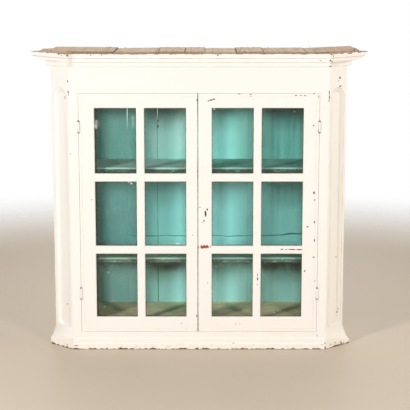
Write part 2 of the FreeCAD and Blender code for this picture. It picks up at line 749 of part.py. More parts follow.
base_corner = cant_body("right_base_corner")
pad(base_corner, outline(base_corner, "XY_Plane", [[
    (f"-base_strip_thickness * {MITRE}", "-base_strip_thickness"),
    ("base_tip", "-base_flare"),
    ("base_tip", "ear_thickness"),
    ("cant_length + ear_thickness", "ear_thickness"),
    ("cant_length", "0"),
    ("0", "0"),
]]), "base_flare_height")
trim(base_corner, outline(base_corner, "XZ_Plane", [[
    ("cant_length", "base_flare_height", hollow("base_reach - base_toe"), 1),
    ("base_tip - base_toe", "base_toe_height"),
    ("base_tip", "base_toe_height - base_toe"),
    (f"base_tip + {PAST}", "base_toe_height - base_toe"),
    (f"base_tip + {PAST}", f"base_flare_height + {PAST}"),
    ("cant_length", f"base_flare_height + {PAST}"),
], [
    ("base_tip - base_ease", "0"),
    ("base_tip - base_ease", f"-({PAST})"),
    (f"base_tip + {PAST}", f"-({PAST})"),
    (f"base_tip + {PAST}", "base_ease"),
    ("base_tip", "base_ease"),
]]))
trim(base_corner, outline(base_corner, "YZ_Plane", [[
    ("0", "base_flare_height", hollow("base_flare"), -1),
    ("-base_flare", "base_toe_height"),
    (f"-base_flare - {PAST}", "base_toe_height"),
    (f"-base_flare - {PAST}", f"base_flare_height + {PAST}"),
    ("0", f"base_flare_height + {PAST}"),
]]))
keep(base_corner)
whole_foot = other_hand(base_corner)
whole_foot.Label = "whole_left_foot"
worn_toe = box("worn_toe", (f"-toe_x - {PAST}", "toe_wear - toe_x"), (f"-({PAST})", "carcass_depth"),
               (f"-({PAST})", "base_flare_height"))
left_foot = cut("worn_left_foot", whole_foot, [worn_toe])
left_foot.Label = "left_base_corner"
keep(left_foot)

base_return = side_return("right_base_return", [
    ("carcass_half", "0"),
    ("carcass_half + (base_reach - base_ease) / sqrt(2)", "0"),
    ("carcass_half + base_reach / sqrt(2)", "base_ease"),
    ("carcass_half + base_reach / sqrt(2)", "base_toe_height - base_toe"),
    ("carcass_half + (base_reach - base_toe) / sqrt(2)", "base_toe_height",
     hollow("(base_reach - base_toe) / sqrt(2)"), -1),
    ("carcass_half", "base_flare_height"),
])
pair(base_return)

# Hinges: two leaves with interlocking knuckles on a loose pin, two hinges to a door


def knuckle(name, low, high, leaf_x):
    """One knuckle and the tongue that joins it to its leaf."""
    barrel = upright_rod(name, "hinge_x", "hinge_y", (low, high), "knuckle_radius")
    tongue = box(name + "_tongue", leaf_x, ("hinge_y", "0"), (low, high))
    return [barrel, tongue]


frame_wood = ("opening_half", "opening_half + leaf_thickness")
door_wood = ("door_edge - leaf_thickness", "door_edge")
leaf_depth = ("0", "leaf_width")
frame_leaves = []
door_leaves = []
hinge_pins = []
frame_recesses = []
door_recesses = []
for level in ("upper_hinge", "lower_hinge"):
    foot = level
    head = f"{level} + hinge_height"
    span = (foot, head)
    middle = (f"{foot} + knuckle_length + knuckle_play", f"{head} - knuckle_length - knuckle_play")
    bore = upright_rod(f"{level}_bore", "hinge_x", "hinge_y", grow(span, PAST),
                       "hinge_pin_radius + hinge_pin_fit")
    frame_plate = box(f"{level}_frame_plate", frame_wood, leaf_depth, span)
    door_plate = box(f"{level}_door_plate", door_wood, leaf_depth, span)
    lower_knuckle = knuckle(f"{level}_low_knuckle", foot, f"{foot} + knuckle_length", frame_wood)
    upper_knuckle = knuckle(f"{level}_high_knuckle", f"{head} - knuckle_length", head, frame_wood)
    door_knuckle = knuckle(f"{level}_door_knuckle", middle[0], middle[1], door_wood)
    frame_solid = joined(f"{level}_frame_solid", [frame_plate] + lower_knuckle + upper_knuckle)
    door_solid = joined(f"{level}_door_solid", [door_plate] + door_knuckle)
    frame_leaves.append(cut(f"{level}_frame_leaf", frame_solid, [bore]))
    door_leaves.append(cut(f"{level}_door_leaf", door_solid, [bore]))
    hinge_pins.append(upright_rod(f"{level}_pin", "hinge_x", "hinge_y", grow(span, "hinge_pin_tip"),
                                  "hinge_pin_radius"))
    room = grow(span, "leaf_clearance")
    room_depth = (f"-({PAST})", "leaf_width + leaf_clearance")
    frame_recesses.append(box(f"{level}_frame_recess", frame_wood, room_depth, room))
    door_recesses.append(box(f"{level}_door_recess", door_wood, room_depth, room))
pair(group("right_frame_leaves", frame_leaves))
pair(group("right_door_leaves", door_leaves))
pair(group("right_hinge_pins", hinge_pins))

face_stile_blank = board("right_face_stile_blank", [
    ("opening_half", "0"),
    ("front_half", "0"),
    (f"front_half - board_thickness * {MITRE}", "board_thickness"),
    ("opening_half", "board_thickness"),
], "0", "carcass_height")
pair(cut("right_face_stile", face_stile_blank, frame_recesses))

# Doors: tenoned stiles and rails, glazing bars, panes bedded in putty, a bead round the edge

columns = (("pane_inner", "bar_inner"), ("bar_outer", "pane_outer"))
rows = [(f"glazing_bottom + {row} * pane_pitch", f"glazing_bottom + {row} * pane_pitch + pane_height")
        for row in range(PANE_ROWS)]
bar_rows = [(low[1], high[0]) for low, high in zip(rows, rows[1:])]
door_depth = ("0", "door_thickness")
glass_back = "lip_depth + glass_thickness"
putty_back = f"{glass_back} + putty_depth"

pane_cuts = []
panes = []
putty = []
for across in columns:
    for up in rows:
        number = len(panes) + 1
        rebate = (grow(across, "rebate_width"), grow(up, "rebate_width"))
        bevel = (grow(across, "sight_chamfer"), grow(up, "sight_chamfer"))
        pane_cuts.append(box(f"rebate_{number}", rebate[0], ("lip_depth", "door_thickness"), rebate[1]))
        pane_cuts.append(frustum(f"bevel_{number}", ("0", "sight_chamfer"), bevel, (across, up)))
        glass = [grow(span, "(rebate_width - glass_clearance)") for span in (across, up)]
        panes.append(box(f"pane_{number}", glass[0], ("lip_depth", glass_back), glass[1]))
        ring = box(f"putty_block_{number}", rebate[0], (glass_back, putty_back), rebate[1])
        slope = frustum(f"putty_slope_{number}", (glass_back, putty_back), (across, up), tuple(glass))
        putty.append(cut(f"putty_{number}", ring, [slope]))
pane_cutters = group("pane_cutters", pane_cuts)
pair(group("right_panes", panes))
pair(group("right_putty", putty))

quirk = ("0", "quirk_depth")
quirk_across = ("right_free_edge - meeting_gap", "door_edge - bead_width")
edge_cuts = [
    box("top_quirk", quirk_across, quirk, ("door_top - bead_width - quirk_width", "door_top - bead_width")),
    box("bottom_quirk", quirk_across, quirk,
        ("door_bottom + bead_width", "door_bottom + bead_width + quirk_width")),
    box("hinge_quirk", ("door_edge - bead_width - quirk_width", "door_edge - bead_width"), quirk,
        ("door_bottom + bead_width", "door_top - bead_width")),
]
edge_cutter = joined("edge_cutter", edge_cuts)


def tenon(name, x, y, z):
    """A tenon, and the slightly larger mortise that takes it."""
    tongue = box(name, x, y, z)
    mortise = box(name + "_mortise", *(grow(span, "tenon_clearance") for span in (x, y, z)))
    return tongue, mortise


rail_tenon_depth = ("tenon_setback", "tenon_setback + tenon_thickness")
stub_depth = ("stub_setback", "stub_setback + stub_thickness")
hinge_tenon = ("pane_outer", "pane_outer + tenon_length")
meeting_tenon = ("pane_inner - tenon_length", "pane_inner")
bar_middle = "(bar_inner + bar_outer) / 2"
bar_stub = grow((bar_middle, bar_middle), "stub_width / 2")
rails = (
    ("top_rail", ("glazing_top", "door_top"), ("glazing_top", "glazing_top + tenon_length")),
    ("bottom_rail", ("door_bottom", "glazing_bottom"), ("glazing_bottom - tenon_length", "glazing_bottom")),
)
hinge_mortises = []
meeting_mortises = []
upright_parts = [box("upright_bar_blank", ("bar_inner", "bar_outer"), door_depth,
                     ("glazing_bottom", "glazing_top"))]
for name, span, stub_span in rails:
    inside = (f"{span[0]} + tenon_shoulder", f"{span[1]} - tenon_shoulder")
    hinge_end, hinge_hole = tenon(f"{name}_hinge_tenon", hinge_tenon, rail_tenon_depth, inside)
    meeting_end, meeting_hole = tenon(f"{name}_meeting_tenon", meeting_tenon, rail_tenon_depth, inside)
    bar_end, bar_hole = tenon(f"{name}_bar_tenon", bar_stub, stub_depth, stub_span)
    blank = box(f"{name}_blank", ("pane_inner", "pane_outer"), door_depth, span)
    rail = joined(f"{name}_with_tenons", [blank, hinge_end, meeting_end])
    pair(cut(f"right_{name}", rail, [pane_cutters, edge_cutter, bar_hole]))
    hinge_mortises.append(hinge_hole)
    meeting_mortises.append(meeting_hole)
    upright_parts.append(bar_end)

cross_parts = []
upright_mortises = []
for row, span in enumerate(bar_rows, start=1):
    level = f"({span[0]} + {span[1]}) / 2"
    stub = grow((level, level), "stub_width / 2")
    for column, across in enumerate(columns, start=1):
        label = f"cross_bar_{row}_{column}"
        near = (f"{across[0]} - stub_length", across[0])
        far = (across[1], f"{across[1]} + stub_length")
        near_end, near_hole = tenon(label + "_near", near, stub_depth, stub)
        far_end, far_hole = tenon(label + "_far", far, stub_depth, stub)
        cross_parts += [box(label, across, door_depth, span), near_end, far_end]
        meeting_mortises += [near_hole] if column == 1 else []
        hinge_mortises += [far_hole] if column == len(columns) else []
        upright_mortises += [far_hole] if column == 1 else [near_hole]
pair(cut("right_cross_bars", joined("cross_bar_blanks", cross_parts), [pane_cutters]))
upright_bar = joined("upright_bar_with_tenons", upright_parts)
pair(cut("right_upright_bar", upright_bar, [pane_cutters] + upright_mortises))

hinge_stile_blank = box("hinge_stile_blank", ("pane_outer", "door_edge"), door_depth,
                        ("door_bottom", "door_top"))
hinge_cuts = [pane_cutters, edge_cutter] + hinge_mortises + door_recesses
pair(cut("right_hinge_stile", hinge_stile_blank, hinge_cuts))

# Lock: a case let into the back of the right meeting stile, its bolt, and a plate on the left door

lock_x = ("right_free_edge", "right_free_edge + lock_width")
lock_z = ("keyhole_z - lock_below", "keyhole_z + lock_above")
bolt_x = ("right_free_edge + bolt_inset", "right_free_edge + lock_width - lock_wall - bolt_throw")
bolt_y = ("bolt_front", "bolt_back")
bolt_z = ("bolt_bottom", "bolt_top")
keyhole_slot = box("keyhole_slot_cut", grow(("keyhole_x", "keyhole_x"), "keyhole_slot / 2"),
                   (f"-({PAST})", "bolt_front"), ("keyhole_z - keyhole_drop", "keyhole_z + keyhole_lift"))
keyhole_round = doc.addObject("Part::Cylinder", "keyhole_round_cut")
keyhole_round.Placement.Rotation = FreeCAD.Rotation(FreeCAD.Vector(1, 0, 0), -90)
bind(keyhole_round, "Radius", "keyhole_radius")
bind(keyhole_round, "Height", f"bolt_front + {PAST}")
bind(keyhole_round, "Placement.Base.x", "keyhole_x")
bind(keyhole_round, "Placement.Base.y", f"front_y - {PAST}")
bind(keyhole_round, "Placement.Base.z", "keyhole_z + keyhole_lift")
keyhole = joined("keyhole", [keyhole_round, keyhole_slot])

lock_recess = box("lock_recess", lock_x, ("lock_front", "door_thickness"), lock_z)
bolt_way = box("bolt_way", ("right_free_edge - bolt_throw", f"{bolt_x[1]} + bolt_clearance"),
               grow(bolt_y, "bolt_clearance"), grow(bolt_z, "bolt_clearance"))
lock_blank = box("lock_blank", lock_x, ("lock_front", "door_thickness"), lock_z)
lock_case = keep(cut("lock_case", lock_blank, [bolt_way, keyhole]))
lock_bolt = keep(box("lock_bolt", bolt_x, bolt_y, bolt_z))

meeting_cuts = [pane_cutters, edge_cutter] + meeting_mortises
right_stile_blank = box("right_meeting_blank", ("right_free_edge", "pane_inner"), door_depth,
                        ("door_bottom", "door_top"))
keep(cut("right_meeting_stile", right_stile_blank, meeting_cuts + [lock_recess, keyhole]))

strike_x = ("left_free_edge", "left_free_edge + strike_thickness")
strike_y = ("bolt_front - strike_margin / 2", "door_thickness")
strike_z = grow(bolt_z, "strike_margin")
strike_hole = box("strike_hole", ("left_free_edge", "left_free_edge + bolt_throw"),
                  grow(bolt_y, "strike_clearance"), grow(bolt_z, "strike_clearance"))
strike_recess = box("strike_recess", strike_x, strike_y, strike_z)
left_stile_blank = box("left_meeting_blank", ("left_free_edge", "pane_inner"), door_depth,
                       ("door_bottom", "door_top"))
left_cuts = meeting_cuts + [strike_hole, strike_recess]
left_stile = cut("right_hand_left_meeting_stile", left_stile_blank, left_cuts)
strike_plate = cut("right_hand_lock_strike", box("strike_blank", strike_x, strike_y, strike_z), [strike_hole])
for piece, label in ((left_stile, "left_meeting_stile"), (strike_plate, "lock_strike")):
    copy = other_hand(piece)
    copy.Label = label
    keep(copy)

# Checks on the finished document, then one file for each sub-part

doc.recompute()
for thing in doc.Objects:
    if {"Invalid", "Error"} & set(thing.State):
        raise RuntimeError(f"{thing.Label} failed: {thing.State}")
    if thing.TypeId in ("PartDesign::Pocket", "PartDesign::SubtractiveLoft"):
        if thing.Shape.Volume >= thing.BaseFeature.Shape.Volume:
            raise RuntimeError(f"{thing.Label} cuts nothing")
for thing in sub_parts:
    if thing.Shape.isNull() or not thing.Shape.isValid() or not thing.Shape.Solids:
        raise RuntimeError(f"{thing.Label} has no sound solid")

os.makedirs("parts", exist_ok=True)
for thing in sub_parts:
    thing.Shape.exportStep(f"parts/{thing.Label}.step")
print(len(sub_parts), "sub-parts written")
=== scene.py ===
import functools
import json
import math
import operator

import bmesh
import bpy
import numpy as np
from bpy.props import FloatProperty, FloatVectorProperty, PointerProperty
from bpy.types import Operator, Panel, PropertyGroup
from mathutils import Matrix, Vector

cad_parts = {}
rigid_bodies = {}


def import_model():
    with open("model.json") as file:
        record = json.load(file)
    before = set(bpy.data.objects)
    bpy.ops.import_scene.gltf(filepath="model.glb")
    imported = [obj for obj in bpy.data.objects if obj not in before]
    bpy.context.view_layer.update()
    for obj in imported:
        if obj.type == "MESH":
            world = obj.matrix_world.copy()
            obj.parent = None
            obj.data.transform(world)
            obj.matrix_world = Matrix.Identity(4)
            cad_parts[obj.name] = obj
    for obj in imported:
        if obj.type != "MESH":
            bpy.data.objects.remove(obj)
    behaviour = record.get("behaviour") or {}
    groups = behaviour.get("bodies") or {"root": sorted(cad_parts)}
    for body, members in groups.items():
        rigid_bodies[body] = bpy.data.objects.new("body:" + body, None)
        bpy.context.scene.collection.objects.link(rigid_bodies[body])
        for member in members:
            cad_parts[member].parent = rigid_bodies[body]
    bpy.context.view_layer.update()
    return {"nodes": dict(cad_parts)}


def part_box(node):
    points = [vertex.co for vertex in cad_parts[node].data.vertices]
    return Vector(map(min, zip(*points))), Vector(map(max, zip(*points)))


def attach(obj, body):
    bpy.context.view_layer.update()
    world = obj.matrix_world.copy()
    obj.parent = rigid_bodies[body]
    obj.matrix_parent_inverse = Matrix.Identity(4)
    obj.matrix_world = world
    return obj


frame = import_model()
NODES = frame["nodes"]

bl_info = {
    "name": "China Cabinet Finish",
    "version": (1, 0, 0),
    "blender": (4, 5, 0),
    "location": "View3D > Sidebar > Cabinet",
    "description": "Finishes a framed china cabinet in old paint, bare wood, glass and iron",
    "category": "Object",
}

MM = 0.001
HANDS = ("left", "right")

# Faces of the frame that the finishes are set out from
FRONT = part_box("frieze_rail")[0].y
OPENING_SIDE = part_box("frieze_rail")[1].x
BACK_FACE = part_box("back_boards")[0].y
BACK_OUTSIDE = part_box("back_boards")[1].y
SIDE_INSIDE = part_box("right_side")[0].x
SIDE_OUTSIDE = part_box("right_side")[1].x
CANT_SUM = SIDE_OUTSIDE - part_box("right_side")[0].y
MEETING = (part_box("left_meeting_stile")[1].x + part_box("right_meeting_stile")[0].x) / 2

# Back boards: their joint nearest the middle, their pitch and the number of joints each side of it
BACK_JOINT = -42 * MM
BACK_PITCH = 109 * MM
BACK_REACH = 4

# Glass hidden in the rebates round each sight opening
GLASS_COVER = 6 * MM

# Hinges: half the height of one, and its screws' heights above its foot and place behind the front
HINGE_HALF = 20 * MM
SCREW_HEIGHTS = (7 * MM, 20 * MM, 33 * MM)
SCREW_DEPTH = 10 * MM

# Screws: rise of a sunk head and of a round one
SUNK_RISE = 0.2 * MM
ROUND_RISE = 0.6 * MM

# Nails: rise of a head, distance from a joint of the back boards, stray from there, height of the top row,
# and insets from the sides, the front and the back of a top board
NAIL_RISE = 0.5 * MM
NAIL_ASIDE = 15 * MM
NAIL_STRAY = 3 * MM
NAIL_TOP = 0.99
NAIL_INSET = 26 * MM
NAIL_FRONT = 40 * MM
NAIL_BACK = 14 * MM

# Flutes of the canted corners: lower end, upper end below the corner's top, half widths of mouth and floor
FLUTE_FOOT = 69 * MM
FLUTE_HEAD = 97 * MM
FLUTE_HALVES = (34 * MM, 20 * MM)

# Old shelf line on the back boards: its height, its two ends, the rise at its right and where it rises
RIDGE_LEVEL = 351 * MM
RIDGE_START = -0.272
RIDGE_END = SIDE_INSIDE - 4 * MM
RIDGE_RISE = 7 * MM
RIDGE_LIFT = (0.2, 0.36)

# Stretches, in metres up or across, over which a finish inside goes from none to full
BLUE_UP = (0.66, 0.6)
LOW_DUST_UP = (0.36, 0.28)
HIGH_DUST_UP = (0.6, 0.68)
GREEN_UP = (0.36, 0.6)
GREEN_ACROSS = (0.19, 0.27)
THICK_GRIME_ACROSS = (0.2, 0.25)
SHADE_UP = (0.765, 0.85)
LEFT_CORNER_ACROSS = (-0.33, -0.39)
FIRST_COLUMN_ACROSS = (-0.17, -0.22)
STRIP_UP = (0.28, 0.3)
JOINT_CLOSES_UP = (0.3, 0.36)
DUSTY_PANES_ACROSS = (-0.18, -0.22)
DARK_RIM_ACROSS = (-0.31, -0.355)

# Middles of the dust and of the grime behind the second column of panes
DUST_MIDDLE = -0.11
GRIME_MIDDLE = -0.12

# Cornice: heights of its creases, where dirt and painted shade lie, and place of its stain
CREASES = (985.5 * MM, 1001 * MM, 1014.2 * MM)
STAIN_MIDDLE = -0.433

# Top boards from left to right, and how much darker each is than plain bare wood
TOP_BOARDS = [f"top_board_{number}" for number in range(1, 11)]
TOP_TONES = (0.24, 0.12, -0.04, 0.05, -0.02, -0.06, -0.08, 0.02, 0.18, 0.28)

# Floor: half its width, and the distances at which it starts to fade and is gone
FLOOR_HALF = 6.0
FLOOR_FADE = (1.6, 3.2)

# Camera: its place from the middle of the front's foot, tilt in degrees, lens and sensor in millimetres
CAMERA_PLACE = (0.0206, -4.524, 1.343)
CAMERA_TILT = 79.6
LENS = 117.66
SENSOR = 36.0


def srgb(*levels):
    """Linear colour from red, green and blue display levels out of 255."""
    shares = [level / 255 for level in levels]
    return tuple(((s + 0.055) / 1.055) ** 2.4 if s > 0.04045 else s / 12.92 for s in shares)


def colour_property(label, words, *levels):
    """A colour setting whose default is given in display levels out of 255."""
    return FloatVectorProperty(
        name=label, description=words, subtype="COLOR", size=3, min=0.0, max=1.0, default=srgb(*levels)
    )


class CabinetColours(PropertyGroup):
    """Colours of the cabinet's finishes"""

    cream: colour_property("Cream paint", "Outside paint where it is clean", 247, 242, 235)
    # Also painted shade at the right side and painted warm floor light low down
    aged_cream: colour_property("Aged cream", "Outside paint where it has yellowed", 245, 234, 216)
    chip: colour_property("Chip", "Dark old wood at the bottom of a paint chip", 56, 40, 30)
    worn_wood: colour_property("Worn wood", "Reddish wood where paint has worn through", 146, 74, 44)
    # Also painted shade: the dark lines in the cornice creases, along the flute edges and where the doors
    # meet
    dirt: colour_property("Dirt", "Brown dirt in creases and along worn edges", 150, 126, 92)
    teal: colour_property("Teal paint", "Inside paint where it is clean", 158, 243, 229)
    deep_teal: colour_property("Deep teal", "Darker streaks of the inside paint", 92, 196, 180)
    blue_teal: colour_property("Blue teal", "Bluer clouds of the inside paint", 156, 238, 237)
    # Also a painted highlight on the rounded noses of the shelves
    pale_teal: colour_property("Pale teal", "Rubbed edges of the shelves", 190, 236, 216)
    dusty_teal: colour_property("Dusty teal", "Inside paint under old dust", 210, 241, 236)
    # Brown grime mixed with painted shadow: the shelf's shadow and the shade at the left of the back are
    # painted in this colour
    soot_and_shadow: colour_property("Soot", "Brown grime on the back under a shelf", 62, 58, 46)
    # Painted shade: the shadow that the frieze and the top rail cast down the back
    shade: colour_property("Shade", "Dark grime on the back under the top", 30, 58, 53)
    shelf_grime: colour_property("Shelf grime", "Dust and grime on the shelves", 128, 160, 136)
    # Part grime, part painted shade: the dark look of the shaded inside faces
    film: colour_property("Inside film", "Brown film on the inside of the sides and the front", 64, 92, 78)
    # On the shelves also painted shade, under the nose and on the underside
    edge_grime: colour_property("Edge grime", "Brown grime under the nose of a shelf", 70, 68, 48)
    olive: colour_property("Olive grey", "Bottom board inside", 243, 224, 180)
    bare_wood: colour_property("Bare wood", "Unpainted boards", 213, 187, 155)
    wood_grain: colour_property("Wood grain", "Dark grain and dirt of unpainted boards", 148, 113, 78)
    putty: colour_property("Putty", "Old putty behind the glass", 104, 112, 92)
    iron: colour_property("Iron", "Dark iron of nails, screws and lock", 62, 54, 48)
    rust: colour_property("Rust", "Rust on the iron", 112, 66, 40)
    brass: colour_property("Brass", "Worn brass of the lock bolt", 176, 140, 78)
    joint: colour_property("Joint", "Dark line where two back boards meet", 28, 62, 56)
    knot: colour_property("Knot", "Knots and knocks in the back boards", 34, 66, 58)
    ridge: colour_property("Old bead", "Bead of paint along the old shelf line", 40, 88, 80)
    bottom_green: colour_property("Bottom green", "Greener paint left on the bottom board", 170, 206, 168)
    scuff: colour_property("Scuff", "Scuffed paint low on the base", 196, 176, 146)
    board_dirt: colour_property("Board dirt", "Dirt along the edges of the top boards", 98, 66, 40)
    split: colour_property("Split", "Fine splits in the top boards", 70, 50, 36)
    dust: colour_property("Dust", "Dust and dried streaks on the glass", 222, 224, 214)
    # A dark rim round each pane, wider at the far left
    pane_rim_dark: colour_property("Pane dirt", "Dirt round the rim of a pane", 64, 60, 46)
    dull_brass: colour_property("Dull brass", "Brass in the hollows of the bolt", 104, 78, 44)
    floor: colour_property("Floor", "Pale studio floor", 210, 194, 173)
    floor_cloud: colour_property("Floor clouds", "Darker clouds of the studio floor", 192, 178, 160)


def length_property(label, words, length):
    """A length setting with its default in metres."""
    return FloatProperty(name=label, description=words, default=length, min=0.0, unit="LENGTH")


class CabinetSizes(PropertyGroup):
    """Sizes of the cabinet's finishing details"""

    arris: length_property("Arris", "Rounding of painted wooden edges", 1.2 * MM)
    metal_arris: length_property("Metal arris", "Rounding of metal edges", 0.25 * MM)
    nail_radius: length_property("Nail head", "Radius of a nail head", 3.2 * MM)
    screw_radius: length_property("Screw head", "Radius of a hinge screw head", 2.6 * MM)


def light_property(label, words, level):
    """A light setting, as a share of what makes white paint white."""
    return FloatProperty(name=label, description=words, default=level, min=0.0, max=2.0)


class CabinetLight(PropertyGroup):
    """Light levels of the studio"""

    ambient: light_property("Ambient", "Even light of the white room", 0.01)
    left_key: light_property("Left key", "Lamp at the left of the camera", 0.59)
    right_key: light_property("Right key", "Lamp at the right of the camera", 0.4)
    left_fill: light_property("Left fill", "Wide soft light on the left side", 0.15)
    right_fill: light_property("Right fill", "Wide soft light on the right side", 0.42)
    back_fill: light_property("Back fill", "Wide soft light behind", 0.3)
    ceiling: light_property("Ceiling", "Wide soft light from above and behind", 0.4)


# Lamps as (setting, degrees from the front towards the left, then metres away, up, wide and tall), and the
# height that they aim at
AIM_HEIGHT = 0.55
LAMPS = [
    ("left_key", 38.3, 3.33, 1.66, 0.5, 0.85),
    ("right_key", -29.7, 3.26, 1.27, 0.45, 0.85),
    ("left_fill", 92, 3.0, 1.4, 2.2, 2.2),
    ("right_fill", -92, 3.0, 1.4, 2.2, 2.2),
    ("back_fill", 180, 3.0, 1.8, 2.4, 2.4),
    ("ceiling", 180, 0.7, 3.0, 2.4, 2.4),
]

# Damage marks as (x, z, half width, half height) in millimetres, seen from the front
DOOR_MARKS = [
    (-6, 874, 1.6, 4), (33, 871, 3.6, 1.8), (41, 873.5, 5, 2.3), (50, 876.5, 5, 2.3),
    (136, 894, 6, 0.9), (328, 889, 4, 1.4), (345, 889, 4, 1.2), (389, 895, 3, 1.4),
    (389, 787, 2.6, 2.6), (406, 769, 1.4, 5), (394, 555, 3, 5), (397, 530, 1.8, 3), (28.5, 497, 2.6, 4.5),
    (17, 457, 3, 3), (10, 451, 1.6, 1.6), (3, 505, 2.2, 1.4), (-2, 365, 1.4, 5.5),
    (38.5, 367, 1.3, 4.5), (202.6, 266, 1, 6.5), (202.7, 252, 2.2, 5), (202.8, 232, 1.4, 2.4),
    (397, 453, 2, 4.5), (373.5, 436.5, 2.8, 2.8), (398, 389, 2, 5), (396, 329, 3.8, 2),
    (366, 280, 2, 4), (175, 893, 5, 1), (176, 887, 5, 0.8), (359, 889, 4.5, 1.2), (405, 886, 1, 6),
    (-368, 531, 1.6, 2), (-22, 407, 1.2, 2.2), (-62, 93, 2.4, 1.2),
    (128, 90, 2, 1.2), (142, 91, 2, 1), (30, 238, 1.2, 1.2), (402, 245, 1.2, 2.5),
    (-8, 120, 1.4, 5), (-4, 70, 1.6, 4), (286, 357, 5, 2), (301, 356, 4, 1.5), (321, 356.4, 13, 1.9),
    (346, 356, 11, 2), (21.8, 488, 2.8, 4), (22.8, 480, 3, 9),
]
WORN_MARKS = [
    (8, 366, 3.2, 6.2), (12, 364, 4.6, 5), (17, 367, 4.2, 5.6), (22, 365, 4.6, 5.2), (27, 367, 4.2, 5.8),
    (31, 365, 2.8, 4.6),
]
BACK_MARKS = [
    (-148, 772, 3, 4), (-148.5, 752, 3.6, 5), (-100, 331, 1.3, 2), (92, 560, 1.2, 2.4), (-238, 620, 1.2, 2),
]
GLASS_SPECKS = [
    (-314, 273, 1.8, 1.8), (56, 495, 1.5, 2), (166, 503, 1.6, 1.6), (78, 301, 1.4, 1.8), (-74, 375, 7, 1),
    (-232, 586, 3, 2), (-240, 591, 2.4, 1.6), (325, 833, 2.4, 0.9), (52, 842, 2.4, 2), (262, 130, 1.4, 1.4),
    (-330, 150, 1.3, 1.3), (-120, 690, 1.2, 1.4), (310, 455, 1.2, 1.2),
]
GLASS_SMUDGES = [
    (-345, 796, 7, 8), (-349, 784, 6, 9), (-338, 788, 5, 6), (-226, 812, 6, 12), (-224, 790, 5, 14),
]
FACE_MARKS = [
    (-443, 937, 2.4, 3.6), (-442, 901, 2.4, 4), (-441, 893, 1.6, 3), (-456, 880, 1.1, 5),
    (440.8, 898, 1.5, 8), (441.8, 883, 2, 7), (440, 872, 1.3, 4), (480, 946, 3.2, 3.8),
    (475, 935, 1.6, 1.8), (482, 917, 5, 2), (-461, 155, 1.4, 3), (-437, 690, 1.2, 2),
    (478, 320, 1.6, 2.6), (486, 120, 1.8, 4), (489, 131, 1.4, 2.6), (412, 48, 2, 1.4),
]
CORNICE_MARKS = [
    (442, 1008, 3.2, 2.6), (448, 1003.5, 2.4, 1.8), (443, 987, 4, 2), (409, 1008, 3.6, 1),
    (-474, 1027, 4, 2), (-464, 1023, 2, 1.6), (-442, 1024, 4, 2.4), (-363, 1025, 2, 1.8),
    (-327, 1025, 2.2, 1.6), (446, 1028, 3, 3), (452, 1022, 2, 3), (514, 1027, 9, 1.5),
    (551, 1029, 8, 2.2), (63, 1025, 2.4, 2.4),
]
BASE_MARKS = [
    (440, 22, 2, 2), (441, 6, 2.4, 5), (462, 12, 2, 2), (480, 14, 2.2, 2), (500, 11, 2, 2),
    (430, 16, 1.6, 1.4), (-463, 12, 2.6, 1.6), (-430, 13, 8, 1.2), (120, 22, 2.4, 1.2), (190, 18, 2, 1),
]


def joined_by(operation, reflected=False):
    """An operator's method, which joins a field and another term in a Math node."""

    def method(field, term):
        return field.math(operation, *((term, field) if reflected else (field, term)))

    return method


class Field:
    """One value over a surface. Python's operators on it add Math nodes: | is the greater, & the lesser."""

    __add__ = __radd__ = joined_by("ADD")
    __mul__ = __rmul__ = joined_by("MULTIPLY")
    __or__ = __ror__ = joined_by("MAXIMUM")
    __and__ = __rand__ = joined_by("MINIMUM")
    __sub__ = joined_by("SUBTRACT")
    __rsub__ = joined_by("SUBTRACT", reflected=True)
    __truediv__ = joined_by("DIVIDE")
    __rtruediv__ = joined_by("DIVIDE", reflected=True)
    __pow__ = joined_by("POWER")
    __rpow__ = joined_by("POWER", reflected=True)

    def __init__(self, finish, socket):
        self.finish = finish
        self.socket = socket

    def math(self, operation, *terms):
        return self.finish.node("ShaderNodeMath", {"operation": operation}, dict(enumerate(terms)))

    def other(self, output):
        """Another output of the same node."""
        return Field(self.finish, self.socket.node.outputs[output])

    def __abs__(self):
        return self.math("ABSOLUTE", self)

    def sine(self):
        return self.math("SINE", self)

    def floor(self):
        return self.math("FLOOR", self)

    def fold(self, span):
        """Distance from the nearest multiple of twice the span."""
        return self.math("PINGPONG", self, span)


class Wiring:
    """A node tree, and the one way that nodes come into it."""

    def __init__(self, tree):
        self.nodes = tree.nodes
        self.links = tree.links
        self.nodes.clear()

    def node(self, kind, settings=None, inputs=None, output=0):
        """A field of one output of a new node, made with its settings first, then socket values and links."""
        made = self.nodes.new(kind)
        for name, setting in (settings or {}).items():
            setattr(made, name, setting)
        for key, given in (inputs or {}).items():
            socket = made.inputs[key]
            if isinstance(given, Field):
                self.links.new(given.socket, socket)
            elif socket.type == "RGBA":
                socket.default_value = (*given[:3], 1.0)
            else:
                socket.default_value = given
        return None if output is None else Field(self, made.outputs[output])


